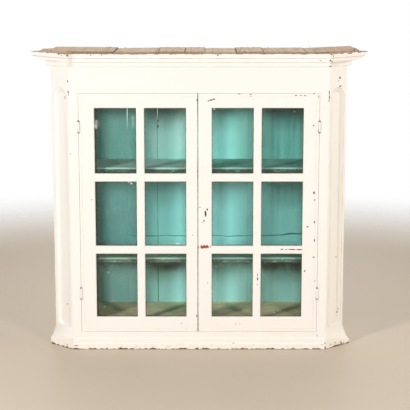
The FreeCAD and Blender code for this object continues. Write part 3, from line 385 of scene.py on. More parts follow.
class Finish(Wiring):
    """A procedural material, put together from fields over the surface."""

    def __init__(self, name):
        self.material = bpy.data.materials.new(name)
        self.material.use_nodes = True
        super().__init__(self.material.node_tree)
        self.place = self.node("ShaderNodeTexCoord", output="Object")
        self.x = self.node("ShaderNodeSeparateXYZ", None, {0: self.place})
        self.y = self.x.other("Y")
        self.z = self.x.other("Z")

    def tint(self, factor, first, second):
        """The first colour where the factor is 0, and the second where it is 1."""
        return self.node("ShaderNodeMix", {"data_type": "RGBA"}, {0: factor, 6: first, 7: second}, output=2)

    def ramp(self, field, low, high):
        """0 at low and 1 at high, with an eased rise between them."""
        inputs = {0: field, 1: low, 2: high, 3: 0.0, 4: 1.0}
        return self.node("ShaderNodeMapRange", {"interpolation_type": "SMOOTHSTEP"}, inputs)

    def near(self, field, middle, outer, inner):
        """1 within the inner distance of a middle and 0 beyond the outer one."""
        return self.ramp(abs(field - middle), outer, inner)

    def noise(self, scale, detail=2.0, roughness=0.5, stretch=(1, 1, 1), shift=(0, 0, 0)):
        """Cloudy noise from 0 to 1. A stretch below 1 along an axis draws it out there."""
        mapping = {"Vector": self.place, "Location": shift, "Scale": stretch}
        at = self.node("ShaderNodeMapping", None, mapping)
        inputs = {"Vector": at, "Scale": scale, "Detail": detail, "Roughness": roughness}
        return self.node("ShaderNodeTexNoise", None, inputs)

    def spots(self, marks, ragged=0.5):
        """1 inside the marks: the least distance from a mark's middle, in its half sizes, broken by noise."""
        distances = []
        for x, z, half_width, half_height in marks:
            scale = (1 / (half_width * MM), 0.0, 1 / (half_height * MM))
            shift = (-x / half_width, 0.0, -z / half_height)
            inputs = {0: self.place, 1: scale, 2: shift}
            offset = self.node("ShaderNodeVectorMath", {"operation": "MULTIPLY_ADD"}, inputs)
            distances.append(self.length(offset))
        nearest = functools.reduce(operator.and_, distances)
        broken = nearest + (self.noise(650, 3, 0.6) - 0.5) * (2 * ragged)
        return self.ramp(broken, 1.12, 0.82)

    def length(self, vector):
        """Length of a vector."""
        return self.node("ShaderNodeVectorMath", {"operation": "LENGTH"}, {0: vector}, output="Value")

    def bump(self, height, distance, strength=1.0):
        """Surface normals tilted by a height field."""
        inputs = {"Height": height, "Distance": distance, "Strength": strength}
        return self.node("ShaderNodeBump", None, inputs)

    def principled(self, **sockets):
        """A Principled shader. Socket names are written with underscores for spaces."""
        inputs = {name.replace("_", " "): given for name, given in sockets.items()}
        return self.node("ShaderNodeBsdfPrincipled", None, inputs)

    def shown(self, shader):
        """The finished material with this shader on its surface."""
        self.node("ShaderNodeOutputMaterial", None, {"Surface": shader}, output=None)
        return self.material


class Coat:
    """Paint or bare wood on a finish: its colour, roughness and height."""

    def __init__(self, finish, colour, rough, height):
        self.finish = finish
        self.colour = colour
        self.rough = rough
        self.height = height

    def tint(self, share, colour):
        """Lays a colour over the coat by a share."""
        self.colour = self.finish.tint(share, self.colour, colour)

    def material(self, depth=0.35, gloss=0.5):
        """The finished material, with the coat's height in shares of a depth in millimetres."""
        normal = self.finish.bump(self.height, depth * MM)
        shader = self.finish.principled(
            Base_Color=self.colour, Roughness=self.rough, Normal=normal, Specular_IOR_Level=gloss
        )
        return self.finish.shown(shader)


def brush_marks(finish, level):
    """Fine brush marks drawn out along a level or an upright piece, from 0 to 1."""
    along = (0.05, 1, 1) if level else (1, 1, 0.05)
    return finish.noise(420, 3, 0.6, along) * 0.6 + finish.noise(90, 2, 0.5, along) * 0.4


def cream_coat(finish, colours, level):
    """Cream paint with brush marks and slow yellowing, with painted warm floor light low down and painted
    shade that makes it warmer and darker at the right side.
    """
    brush = brush_marks(finish, level)
    cloud = finish.noise(5, 4, 0.6)
    yellowed = finish.ramp(cloud, 0.5, 0.8) * 0.25 + finish.ramp(brush, 0.55, 0.75) * 0.1
    # Painted warm light from the floor, low down
    low = finish.ramp(finish.z, 0.35, 0.0) * 0.04
    # Painted shade: the right side, which faces away from the stronger lamp, warmer and darker
    right = finish.ramp(finish.x, OPENING_SIDE + 30 * MM, OPENING_SIDE + 40 * MM) * 0.5
    colour = finish.tint(yellowed + low + right, colours.cream, colours.aged_cream)
    height = brush * 0.25 + finish.noise(38, 2, 0.5) * 0.4
    return Coat(finish, colour, 0.42 + brush * 0.12, height)


def damage(coat, colours, chips, worn=None):
    """Wears a coat in streaks to reddish wood, and chips it down to dark wood."""
    finish = coat.finish
    speck = finish.noise(320, 3, 0.7)
    if worn is not None:
        streaked = worn * finish.ramp(finish.noise(260, 3, 0.65, (1, 1, 0.7), (3, 1, 2)), 0.2, 0.36)
        wood = finish.tint(finish.ramp(speck, 0.5, 0.8), colours.worn_wood, colours.chip)
        coat.tint(streaked, wood)
        coat.height = coat.height - streaked * 0.8
    bottom = finish.tint(finish.ramp(speck, 0.45, 0.75), colours.chip, colours.worn_wood)
    coat.tint(chips * 0.96, bottom)
    coat.rough = coat.rough + chips * 0.35
    coat.height = coat.height - chips * 1.4


def door_paint(colours, level):
    """Cream paint of the doors, chipped, worn below the keyhole, and darkened where they meet by dirt and a
    painted shadow line. Grimy teal with painted shade inside.
    """
    finish = Finish("door_paint_level" if level else "door_paint_upright")
    coat = cream_coat(finish, colours, level)
    broken = finish.noise(60, 4, 0.65)
    # Dirt and a painted shadow line along the gap where the doors meet
    meeting_dirt_and_shade = finish.ramp(abs(finish.x - MEETING) + (broken - 0.5) * (3 * MM), 2.8 * MM, 0.9 * MM)
    coat.tint(meeting_dirt_and_shade * 0.75, colours.dirt)
    damage(coat, colours, finish.spots(DOOR_MARKS), finish.spots(WORN_MARKS, 0.8))
    # Inside faces: grimy teal with painted shade
    inside = finish.ramp(finish.y, FRONT + 15 * MM, FRONT + 18 * MM)
    coat.tint(inside, grimy_and_shaded_teal(finish, colours, level).colour)
    return coat.material()


def teal_coat(finish, colours, level=False):
    """Teal paint in soft clouds drawn out along the grain of the boards."""
    along = (0.03, 1, 1) if level else (1, 1, 0.03)
    streak = finish.noise(46, 3, 0.55, along)
    fine = finish.noise(300, 3, 0.6, along)
    cloud = finish.noise(6, 4, 0.6, (1, 1, 0.6))
    deep = finish.ramp(streak, 0.35, 0.8) * 0.28 + finish.ramp(cloud, 0.35, 0.75) * 0.2
    colour = finish.tint(deep, colours.teal, colours.deep_teal)
    coat = Coat(finish, colour, 0.42 + fine * 0.15, streak * 0.4 + fine * 0.4)
    blue = finish.ramp(finish.noise(4, 3, 0.5, (1, 1, 0.7), (5, 2, 1)), 0.45, 0.7)
    coat.tint(blue * 0.5, colours.blue_teal)
    flecks = finish.ramp(finish.noise(180, 4, 0.7), 0.72, 0.77)
    coat.tint(flecks * 0.4, colours.chip)
    return coat


def grimy_and_shaded_teal(finish, colours, level):
    """Teal paint under a dark brown film, part grime and part painted shade, as it is on the inside of the
    sides and the front.
    """
    coat = teal_coat(finish, colours, level)
    # Dark film of grime and painted shade
    film = finish.ramp(finish.noise(26, 5, 0.7), 0.25, 0.75) * 0.2 + 0.64
    coat.tint(film, colours.film)
    return coat


def flute_edges(finish):
    """1 along a flute's mouth and floor, which lie at set distances from the middle line of the flute."""
    along = (abs(finish.x) + finish.y - (SIDE_OUTSIDE + FRONT)) * math.sqrt(0.5)
    foot = FLUTE_FOOT + FLUTE_HALVES[0]
    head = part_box("right_canted_corner")[1].z - FLUTE_HEAD - FLUTE_HALVES[0]
    beyond = (abs(finish.z - (foot + head) / 2) - (head - foot) / 2) | 0.0
    away = (along * along + beyond * beyond) ** 0.5
    mouth, floor = [finish.near(away, half, 1.8 * MM, 0.4 * MM) for half in FLUTE_HALVES]
    return mouth | floor * 0.8


def carcass_paint(colours, level):
    """Cream outside, with dirt and painted shade along the flute edges that is weaker at the left, and grimy
    teal with painted shade inside. They part halfway through the boards."""
    finish = Finish("carcass_paint_level" if level else "carcass_paint_upright")
    coat = cream_coat(finish, colours, level)
    broken = finish.noise(40, 4, 0.65, (1, 1, 0.3))
    # Dirt and painted shade along the edges of the flutes, weaker at the left
    dirt = flute_edges(finish) * (finish.ramp(broken, 0.3, 0.65) * 0.3 + 0.12)
    coat.tint(dirt * (finish.ramp(finish.x, -0.1, 0.1) * 0.6 + 0.4), colours.dirt)
    damage(coat, colours, finish.spots(FACE_MARKS))
    # Inside faces: grimy teal with painted shade
    teal = grimy_and_shaded_teal(finish, colours, level)
    wide = abs(finish.x)
    behind = finish.ramp(finish.y, FRONT + 11 * MM, FRONT + 12 * MM)
    between = finish.ramp(wide, SIDE_OUTSIDE - 10 * MM, SIDE_OUTSIDE - 11 * MM)
    within = finish.ramp(wide - finish.y, CANT_SUM - 18 * MM, CANT_SUM - 19 * MM)
    inside = behind & between & within
    coat.tint(inside, teal.colour)
    coat.height = coat.height + inside * (teal.height - coat.height)
    return coat.material()


def plain_teal(colours):
    """Grimy teal paint with painted shade, of the small level pieces that are inside only."""
    return grimy_and_shaded_teal(Finish("teal_level"), colours, True).material()


def bare_grain(finish, colours, along, shift=(0, 0, 0), tone=0.0):
    """Unpainted wood with long grain, clouds and dirt, darkened by a tone."""
    warp = finish.noise(9, 3, 0.5, (1, 1, 1), shift)
    lines = finish.noise(120, 4, 0.65, along, shift)
    broad = finish.noise(26, 3, 0.55, along, shift)
    dirt = finish.noise(14, 5, 0.7, (1, 0.6, 1), shift)
    dark = finish.ramp(lines, 0.42, 0.72) * 0.28 + finish.ramp(broad, 0.4, 0.75) * 0.28
    dark = dark + finish.ramp(dirt, 0.5, 0.8) * 0.25 + finish.ramp(warp, 0.5, 0.8) * 0.15 + tone
    colour = finish.tint(dark, colours.bare_wood, colours.wood_grain)
    return Coat(finish, colour, 0.72 + lines * 0.2, lines * 0.8 + broad * 0.3)


def ridge_height(x, sine, ramp):
    """Height of the old shelf line at x: level, with two small waves and a rise at the right."""
    waves = sine(x * 40) * (1.2 * MM) + sine(x * 97 + 1) * (0.8 * MM)
    return waves + ramp(x, *RIDGE_LIFT) * RIDGE_RISE + RIDGE_LEVEL


def back_grime_and_shade(coat, colours):
    """Sooty grime and painted shade on the back's coat: grime with a painted shadow below the lower shelf,
    painted shade with a brown tint at the left, and painted shade below the top. The shadow below the shelf
    and the shade below the top are thicker and reach lower at the right and behind the second column of
    panes."""
    finish = coat.finish
    x, z = finish.x, finish.z
    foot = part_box("lower_shelf")[0].z
    smoke = finish.noise(14, 4, 0.6, (1, 1, 0.5)) - 0.5
    thick = finish.ramp(x, *THICK_GRIME_ACROSS) | finish.near(x, GRIME_MIDDLE, 0.1, 0.04) * 0.8
    reach = z + smoke * (70 * MM) + thick * (14 * MM)
    # Painted shadow of the lower shelf on the back, mixed with sooty grime
    under = finish.ramp(reach, foot - 82 * MM, foot - 42 * MM) * finish.ramp(z, foot + 12 * MM, foot + 6 * MM)
    # Painted shade at the left corner and behind the first column of panes
    corner = finish.ramp(x + smoke * (40 * MM), *LEFT_CORNER_ACROSS) * 0.1
    corner = corner + finish.ramp(x, *FIRST_COLUMN_ACROSS) * 0.08
    coat.tint(under * (thick * 0.28 + 0.6) | corner, colours.soot_and_shadow)
    # Painted shade below the top, where the frieze and the top rail cast their shadow
    top = finish.ramp(z + smoke * (60 * MM) + thick * (12 * MM), *SHADE_UP)
    coat.tint(top * (thick * 0.3 + 0.62), colours.shade)


def back_board_paint(colours):
    """Teal towards the inside, bluer low down and under the old shelf line, greener at the right, with dust,
    grime, dark joints and knots. Bare wood behind, each board of its own tone."""
    finish = Finish("back_board_paint")
    x, z = finish.x, finish.z
    coat = teal_coat(finish, colours)
    coat.tint(finish.ramp(z, *BLUE_UP) * 0.55, colours.blue_teal)
    low_dust = finish.ramp(z, *LOW_DUST_UP) * 0.25
    high_dust = finish.near(x, DUST_MIDDLE, 0.13, 0.05) * finish.ramp(z, *HIGH_DUST_UP) * 0.45
    coat.tint(low_dust | high_dust, colours.dusty_teal)
    strokes = finish.ramp(finish.noise(75, 4, 0.65, (1, 1, 0.05), (2, 0, 3)), 0.42, 0.7) * 0.5 + 0.3
    coat.tint(finish.ramp(x, *GREEN_ACROSS) * finish.ramp(z, *GREEN_UP) * strokes, colours.deep_teal)
    back_grime_and_shade(coat, colours)
    above = z - ridge_height(x, Field.sine, finish.ramp)
    right = finish.ramp(x, RIDGE_START, RIDGE_START + 30 * MM)
    strip = finish.ramp(above, 1 * MM, -3 * MM) * finish.ramp(z, *STRIP_UP) * right
    coat.tint(strip * 0.45, colours.blue_teal)
    frayed = (finish.noise(50, 4, 0.65, (1, 1, 0.25)) - 0.5) * (1.6 * MM)
    away = (x - BACK_JOINT).fold(BACK_PITCH / 2) + frayed
    open_joint = finish.near(x, BACK_JOINT - BACK_PITCH, 20 * MM, 10 * MM)
    clear = 0.85 - finish.ramp(z, *JOINT_CLOSES_UP) * 0.4
    coat.tint(finish.ramp(away, 1.8 * MM, 0.7 * MM) * (0.07 + open_joint * clear), colours.joint)
    marks = finish.spots(BACK_MARKS, 0.7)
    coat.tint(marks * 0.75, colours.knot)
    board = ((x - BACK_JOINT) / BACK_PITCH).floor()
    tone = finish.node("ShaderNodeTexWhiteNoise", {"noise_dimensions": "1D"}, {"W": board}) * 0.35
    gap = finish.ramp(away, 2.4 * MM, 1 * MM) * 0.5
    bare = bare_grain(finish, colours, (1, 1, 0.04), tone=tone + gap)
    outside = finish.ramp(abs(x), SIDE_INSIDE + 2 * MM, SIDE_INSIDE + 3 * MM)
    behind = finish.ramp(finish.y, BACK_FACE + 1 * MM, BACK_FACE + 1.5 * MM) | outside
    coat.tint(behind, bare.colour)
    coat.rough = coat.rough + behind * (bare.rough - coat.rough)
    coat.height = coat.height - marks + behind * (bare.height - coat.height)
    return coat.material(0.5)


def shelf_paint(colours, node, aged, soil_and_shade):
    """Teal shelf, dusty on top, yellowed by a given share, fresher at the right, rubbed pale along its nose,
    where the paleness is also a painted highlight, and darkened by grime and painted shade under the nose, by
    a share, and on its underside."""
    low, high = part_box(node)
    finish = Finish(f"{node}_paint")
    coat = teal_coat(finish, colours, True)
    depth = high.z - finish.z
    top = finish.ramp(depth, 2 * MM, 0.5 * MM)
    coat.tint(top * 0.75, colours.dusty_teal)
    coat.tint(aged, colours.olive)
    coat.tint(finish.ramp(finish.x, -20 * MM, 60 * MM) * (0.85 - aged), colours.deep_teal)
    grime = finish.ramp(finish.noise(22, 5, 0.65), 0.3, 0.7) * 0.2 + 0.05
    coat.tint(top * grime, colours.shelf_grime)
    edge = finish.ramp(finish.y, low.y + 8 * MM, low.y + 4 * MM)
    worn = finish.noise(60, 4, 0.65, (0.25, 1, 1))
    # Pale rubbed paint on the rounded nose, also a painted highlight
    rubbed = edge * finish.ramp(depth, 5 * MM, 3 * MM) * finish.ramp(worn, 0.25, 0.5)
    coat.tint(rubbed * 0.7, colours.pale_teal)
    # Grime and painted shade on the groove and bead under the nose
    foot = edge * finish.ramp(depth + (worn - 0.5) * (5 * MM), 4.5 * MM, 7 * MM)
    # Grime and painted shade on the shelf's underside
    below = finish.ramp(finish.z, low.z + 1.2 * MM, low.z + 0.4 * MM) * 0.85
    coat.tint(foot * soil_and_shade | below, colours.edge_grime)
    flakes = foot * finish.ramp(finish.noise(170, 3, 0.6, (0.5, 1, 1)), 0.58, 0.66)
    coat.tint(flakes * 0.6, colours.pale_teal)
    coat.rough = coat.rough + top * 0.25
    return coat.material(gloss=0.2)


def bottom_paint(colours):
    """Olive bottom board, dusty and scuffed, greener behind the second column of panes and dirty in front."""
    finish = Finish("bottom_board_paint")
    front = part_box("bottom_board")[0].y
    scuff = finish.noise(30, 5, 0.68, (0.5, 1, 1))
    dust = finish.noise(8, 4, 0.6)
    grime = finish.ramp(scuff, 0.4, 0.72) * 0.3 + finish.ramp(dust, 0.45, 0.75) * 0.25
    coat = Coat(finish, finish.tint(grime, colours.olive, colours.shelf_grime), 0.65 + scuff * 0.2, scuff)
    coat.tint(finish.near(finish.x, DUST_MIDDLE, 0.12, 0.04) * 0.4, colours.bottom_green)
    edge = finish.ramp(finish.y, front + 6 * MM, front + 2 * MM)
    coat.tint(edge * (0.3 + scuff * 0.4), colours.edge_grime)
    flecks = finish.ramp(finish.noise(160, 4, 0.7), 0.68, 0.74)
    coat.tint(flecks * 0.5, colours.chip)
    return coat.material(gloss=0.2)


def cornice_paint(colours):
    """Cream cornice with dirt and painted shade in its creases, a stain at the left corner, a chipped upper
    edge and a bare top.
    """
    finish = Finish("cornice_paint")
    coat = cream_coat(finish, colours, True)
    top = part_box("cornice_front")[1].z
    broken = finish.noise(60, 4, 0.65, (0.6, 1, 1))
    # Dirt and painted shade along the creases of the cornice
    crease_dirt_and_shade = [finish.near(finish.z, level, 2.4 * MM, 0.3 * MM) for level in CREASES]
    dirt = functools.reduce(operator.or_, crease_dirt_and_shade) * (finish.ramp(broken, 0.3, 0.6) * 0.26 + 0.12)
    away = abs(finish.x - STAIN_MIDDLE) + (broken - 0.5) * (14 * MM)
    stain = finish.ramp(away, 17 * MM, 2 * MM) * 0.28
    coat.tint(dirt | stain, colours.dirt)
    upper = finish.ramp(finish.z, top - 0.7 * MM, top - 0.2 * MM)
    edge = finish.ramp(finish.z + (broken - 0.55) * (11 * MM), top - 2.0 * MM, top - 0.8 * MM)
    damage(coat, colours, finish.spots(CORNICE_MARKS) | edge * (1 - upper))
    coat.tint(upper, bare_grain(finish, colours, (0.05, 1, 1), tone=0.5).colour)
    coat.rough = coat.rough + upper * 0.3
    return coat.material()


def base_paint(colours):
    """Cream base, scuffed low down and chipped to the wood along the ground."""
    finish = Finish("base_paint")
    coat = cream_coat(finish, colours, True)
    broken = finish.noise(75, 4, 0.7, (0.7, 0.7, 1))
    scuff = finish.ramp(finish.z, 34 * MM, 0.0) * finish.ramp(broken, 0.42, 0.7)
    coat.tint(scuff * 0.35, colours.scuff)
    ground = finish.ramp(finish.z - (broken - 0.46) * (26 * MM), 2.6 * MM, 1.0 * MM)
    damage(coat, colours, finish.spots(BASE_MARKS) | ground)
    return coat.material()


def top_board_finish(colours, number):
    """Bare top board of its own tone, darker brown towards its front end, dirty along its sides, with fine
    splits.
    """
    finish = Finish(f"top_board_{number}_wood")
    shift = (1.7 * number, 0.9 * number, 0.4 * number)
    coat = bare_grain(finish, colours, (1, 0.05, 1), shift, TOP_TONES[number - 1])
    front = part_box("cornice_front")[1].y
    frayed = finish.noise(60, 4, 0.7, (1, 0.4, 1), shift) - 0.5
    # Darker brown towards the front end of the board
    dirty = finish.ramp(finish.y + frayed * (90 * MM), front + 60 * MM, front + 5 * MM)
    low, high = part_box(f"top_board_{number}")
    middle, half = (low.x + high.x) / 2, (high.x - low.x) / 2
    side = finish.ramp(half - abs(finish.x - middle) + frayed * (2 * MM), 3 * MM, 1.4 * MM)
    coat.tint(dirty * 0.6 | side * 0.8, colours.board_dirt)
    split = finish.near(finish.noise(9, 2, 0.5, (1, 0.03, 1), shift), 0.5, 0.006, 0.001)
    coat.tint(split * 0.35, colours.split)
    coat.height = coat.height - split
    return coat.material(0.5)


def pane_edge(finish):
    """Distance in from the nearest edge of a sight opening, the same for each pane of both doors."""
    glass_low, glass_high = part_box("right_panes")
    left = glass_low.x + GLASS_COVER
    foot = glass_low.z + GLASS_COVER
    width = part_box("right_upright_bar")[0].x - left
    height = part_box("right_cross_bars")[0].z - foot
    across = glass_high.x - GLASS_COVER - left - width
    upwards = (glass_high.z - GLASS_COVER - foot - height) / 2
    side = width / 2 - (abs(finish.x) - left - width / 2).fold(across / 2)
    end = height / 2 - (finish.z - foot - height / 2).fold(upwards / 2)
    return side & end


def old_glass(colours, hand):
    """Thin window glass: faint reflections, dust, dried streaks, a dark rim that is wider at the far left,
    smudges and specks of paint.
    """
    finish = Finish(f"{hand}_glass")
    wave = finish.noise(14, 2, 0.4, (1, 1, 0.5))
    normal = finish.bump(wave, 1.2 * MM, 0.5)
    glance = finish.node("ShaderNodeLayerWeight", None, {"Blend": 0.5, "Normal": normal}, output="Facing")
    mirror = glance ** 5 * 0.9 + 0.012
    clear = finish.node("ShaderNodeBsdfTransparent", None, {"Color": (0.99, 1.0, 0.995)})
    sheen = {"Color": (1, 1, 1), "Roughness": 0.03, "Normal": normal}
    gloss = finish.node("ShaderNodeBsdfGlossy", None, sheen)
    pane = finish.node("ShaderNodeMixShader", None, {0: mirror, 1: clear, 2: gloss})
    left = finish.ramp(finish.x, *DUSTY_PANES_ACROSS)
    smear = finish.ramp(finish.noise(70, 5, 0.75, (1, 1, 0.7)), 0.45, 0.85) * (left * 0.07 + 0.03)
    dried = finish.ramp(finish.noise(85, 3, 0.6, (1, 1, 0.03)), 0.68, 0.8) * 0.03
    ragged = (finish.noise(110, 4, 0.65) - 0.5) * (7 * MM)
    # A dark rim round each pane, wider and more ragged at the far left
    outer = finish.ramp(finish.x, *DARK_RIM_ACROSS)
    edge = pane_edge(finish) + ragged * (outer * 0.6 + 1) - outer * (4 * MM)
    rim = finish.ramp(edge, outer * (4 * MM) + 3.6 * MM, 0.4 * MM) * 0.55
    haze = finish.ramp(edge + (finish.noise(22, 4, 0.6) - 0.5) * (30 * MM), 30 * MM, 0.0) * 0.1
    specks = finish.spots(GLASS_SPECKS) * 0.9 | finish.spots(GLASS_SMUDGES, 1.8) * 0.045
    colour = finish.tint(finish.ramp(rim | haze, 0.0, 0.02), colours.dust, colours.pane_rim_dark)
    colour = finish.tint(finish.ramp(specks, 0.0, 0.03), colour, colours.cream)
    film = finish.principled(Base_Color=colour, Roughness=0.9)
    dusty = smear | dried | haze | rim | specks
    return finish.shown(finish.node("ShaderNodeMixShader", None, {0: dusty, 1: pane, 2: film}))


def old_putty(colours):
    """Hard old putty, cracked across and stained by the inside paint."""
    finish = Finish("old_putty")
    lumps = finish.noise(150, 4, 0.6)
    cracks = finish.near(finish.noise(60, 3, 0.6), 0.5, 0.02, 0.004)
    colour = finish.tint(lumps * 0.5, colours.putty, colours.shelf_grime)
    coat = Coat(finish, colour, 0.7 + lumps * 0.2, lumps - cracks)
    coat.tint(cracks * 0.7, colours.chip)
    return coat.material(0.6)


def old_iron(colours, name, rusted, rough=0.5):
    """Dark iron with patches of rust, more of them for a larger share."""
    finish = Finish(name)
    patches = finish.ramp(finish.noise(240, 5, 0.68), 0.62 - 0.3 * rusted, 0.8 - 0.3 * rusted)
    grain = finish.noise(1400, 2, 0.6)
    colour = finish.tint(patches, colours.iron, colours.rust)
    metal = 0.85 - patches * 0.75
    normal = finish.bump(grain + patches, 0.08 * MM)
    return finish.shown(
        finish.principled(Base_Color=colour, Metallic=metal, Roughness=rough + patches * 0.3, Normal=normal)
    )


def old_brass(colours):
    """Worn brass, dull in its hollows."""
    finish = Finish("old_brass")
    dull = finish.ramp(finish.noise(300, 4, 0.6), 0.4, 0.7)
    colour = finish.tint(dull * 0.6, colours.brass, colours.dull_brass)
    scratch = finish.noise(900, 2, 0.5, (0.05, 1, 1))
    normal = finish.bump(scratch, 0.05 * MM)
    rough = 0.3 + dull * 0.25
    return finish.shown(finish.principled(Base_Color=colour, Metallic=1.0, Roughness=rough, Normal=normal))


def painted_hinge(colours, hand):
    """Hinge painted over with the doors, worn to dark iron at the tips and joints of its knuckles."""
    finish = Finish(f"{hand}_hinge_paint")
    coat = cream_coat(finish, colours, False)
    low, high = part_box(f"{hand}_frame_leaves")
    upper = abs(finish.z - (high.z - HINGE_HALF))
    lower = abs(finish.z - (low.z + HINGE_HALF))
    broken = (finish.noise(500, 3, 0.65) - 0.5) * (9 * MM)
    tips = finish.ramp((upper & lower) + broken, HINGE_HALF - 3 * MM, HINGE_HALF - 1.5 * MM)
    leaf = finish.ramp(finish.y, FRONT + 0.5 * MM, FRONT + 2 * MM)
    rubbed = leaf * finish.ramp(finish.noise(220, 4, 0.7), 0.42, 0.56)
    damage(coat, colours, tips | rubbed)
    return coat.material()


def clad(names, material):
    """Gives the named frame pieces a material."""
    for name in names:
        slots = NODES[name].data.materials
        slots.clear()
        slots.append(material)


def soften(names, width):
    """Rounds the edges of the named frame pieces: their triangles are joined, then sharp edges bevelled."""
    for name in names:
        weld = NODES[name].modifiers.new("Joined", "WELD")
        weld.merge_threshold = 0.005 * MM
        bevel = NODES[name].modifiers.new("Rounded", "BEVEL")
        bevel.limit_method = "ANGLE"
        bevel.angle_limit = math.radians(35)
        bevel.width = width
        bevel.segments = 2
        bevel.harden_normals = True


def both_hands(*names):
    """The left and the right piece of each name."""
    return [f"{hand}_{name}" for name in names for hand in HANDS]


def lattice(name, grids, body, material):
    """One piece from sheets of points (sheet, row, column, axis), with a quad between each four neighbours
    and the last column joined to the first."""
    sheets, rows, columns, _ = grids.shape
    index = np.arange(sheets * rows * columns).reshape(sheets, rows, columns)
    beside = np.roll(index, -1, axis=2)
    corners = [index[:, :-1], beside[:, :-1], beside[:, 1:], index[:, 1:]]
    quads = np.stack(corners, axis=-1).reshape(-1, 4)
    mesh = bpy.data.meshes.new(name)
    mesh.from_pydata(grids.reshape(-1, 3).tolist(), [], quads.tolist())
    joined = bmesh.new()
    joined.from_mesh(mesh)
    bmesh.ops.remove_doubles(joined, verts=joined.verts, dist=0.001 * MM)
    bmesh.ops.recalc_face_normals(joined, faces=joined.faces)
    joined.to_mesh(mesh)
    joined.free()
    mesh.polygons.foreach_set("use_smooth", np.ones(len(mesh.polygons), bool))
    piece = bpy.data.objects.new(name, mesh)
    bpy.context.scene.collection.objects.link(piece)
    mesh.materials.append(material)
    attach(piece, body)


def turned_heads(centres, normal, radius, rise, slot_turns=None):
    """Round heads as sheets of points: a profile of shares of the radius and heights, turned about a normal
    at each centre. With slot turns, a straight groove is pressed across each head at that turn."""
    shares = np.array([0.0, 0.18, 0.36, 0.54, 0.72, 0.88, 0.97, 1.0, 1.0, 0.0])
    heights = np.array([1.0, 0.99, 0.95, 0.88, 0.76, 0.55, 0.32, 0.1, -0.8, -0.8]) * rise
    turns = np.linspace(0, 2 * math.pi, 24, endpoint=False)
    across = np.outer(shares, np.cos(turns)) * radius
    upwards = np.outer(shares, np.sin(turns)) * radius
    normal = np.asarray(normal, float)
    slanting = (0.31, 0.74, 0.6)
    side = np.cross(normal, slanting)
    side /= np.linalg.norm(side)
    other = np.cross(normal, side)
    out = np.broadcast_to(heights[:, None], across.shape)
    centres = np.asarray(centres, float)
    lift = np.broadcast_to(out, (len(centres), *out.shape)).copy()
    if slot_turns is not None:
        angle = np.asarray(slot_turns)[:, None, None]
        away = np.abs(across * np.sin(angle) - upwards * np.cos(angle))
        lift -= np.where((away < 0.2 * radius) & (out > 0), 0.7 * rise, 0.0)
    flat = across[..., None] * side + upwards[..., None] * other
    return centres[:, None, None, :] + flat[None] + lift[..., None] * normal


def eased(x, low, high):
    """0 at low and 1 at high, with an eased rise between them, for an array."""
    share = np.clip((x - low) / (high - low), 0, 1)
    return share * share * (3 - 2 * share)


def paint_ridge(colours):
    """Bead of old paint: half an ellipse swept along the old shelf line, thicker at the right and thin at
    both ends. Its back half is flattened and sunk in the boards."""
    x = np.linspace(RIDGE_START, RIDGE_END, 240)[:, None]
    turns = np.linspace(0, 2 * math.pi, 14, endpoint=False)[None, :]
    thin = eased(x, RIDGE_START, RIDGE_START + 40 * MM) * eased(x, RIDGE_END, RIDGE_END - 16 * MM)
    wide = (1.3 + 1.5 * eased(x, *RIDGE_LIFT) + 0.4 * np.sin(x * 61)) * thin * MM
    proud = (0.7 + 0.6 * eased(x, *RIDGE_LIFT)) * thin * MM
    y = BACK_FACE - proud * np.maximum(np.sin(turns), -0.5)
    z = ridge_height(x, np.sin, eased) + wide * np.cos(turns)
    grid = np.stack(np.broadcast_arrays(x, y, z), axis=-1)[None]
    coat = teal_coat(Finish("ridge_paint"), colours, True)
    coat.tint(0.8, colours.ridge)
    lattice("shelf_line", grid, "carcass", coat.material())


def nail_back(colours, radius):
    """Nails through the back: one each side of every joint, level with the boards that they go into and along
    the top, each strayed a little."""
    boards = ("bottom_board", "lower_shelf", "upper_shelf")
    levels = [sum(corner.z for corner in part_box(board)) / 2 for board in boards]
    joints = BACK_JOINT + BACK_PITCH * np.arange(-BACK_REACH, BACK_REACH + 1)
    columns = np.concatenate([joints - NAIL_ASIDE, joints + NAIL_ASIDE])
    spots = np.stack(np.meshgrid(columns, [BACK_OUTSIDE], [*levels, NAIL_TOP]), axis=-1).reshape(-1, 3)
    spots[:, 0::2] += np.random.default_rng(5).uniform(-NAIL_STRAY, NAIL_STRAY, (len(spots), 2))
    heads = turned_heads(spots, (0, 1, 0), radius, NAIL_RISE)
    lattice("back_nails", heads, "carcass", old_iron(colours, "back_nail_iron", 0.8))


class CABINET_OT_paint_outside(Operator):
    """Paint the doors, front, corners, sides, cornice and base in chipped cream"""

    bl_idname = "cabinet.paint_outside"
    bl_label = "Paint the outside"

    def execute(self, context):
        colours = context.scene.cabinet_colours
        arris = context.scene.cabinet_sizes.arris
        upright = both_hands("hinge_stile", "meeting_stile", "upright_bar")
        level = both_hands("top_rail", "bottom_rail", "cross_bars")
        corners = both_hands("face_stile", "canted_corner", "side")
        rails = ["frieze_rail", "base_rail"]
        cornice = ["cornice_front", *both_hands("cornice_corner", "cornice_return")]
        base = ["base_strip", *both_hands("base_corner", "base_return")]
        clad(upright, door_paint(colours, False))
        clad(level, door_paint(colours, True))
        clad(corners, carcass_paint(colours, False))
        clad(rails, carcass_paint(colours, True))
        clad(cornice, cornice_paint(colours))
        clad(base, base_paint(colours))
        soften(upright + level, 0.5 * arris)
        soften(corners + rails, 0.2 * arris)
        soften(cornice + base, 0.6 * arris)
        return {"FINISHED"}


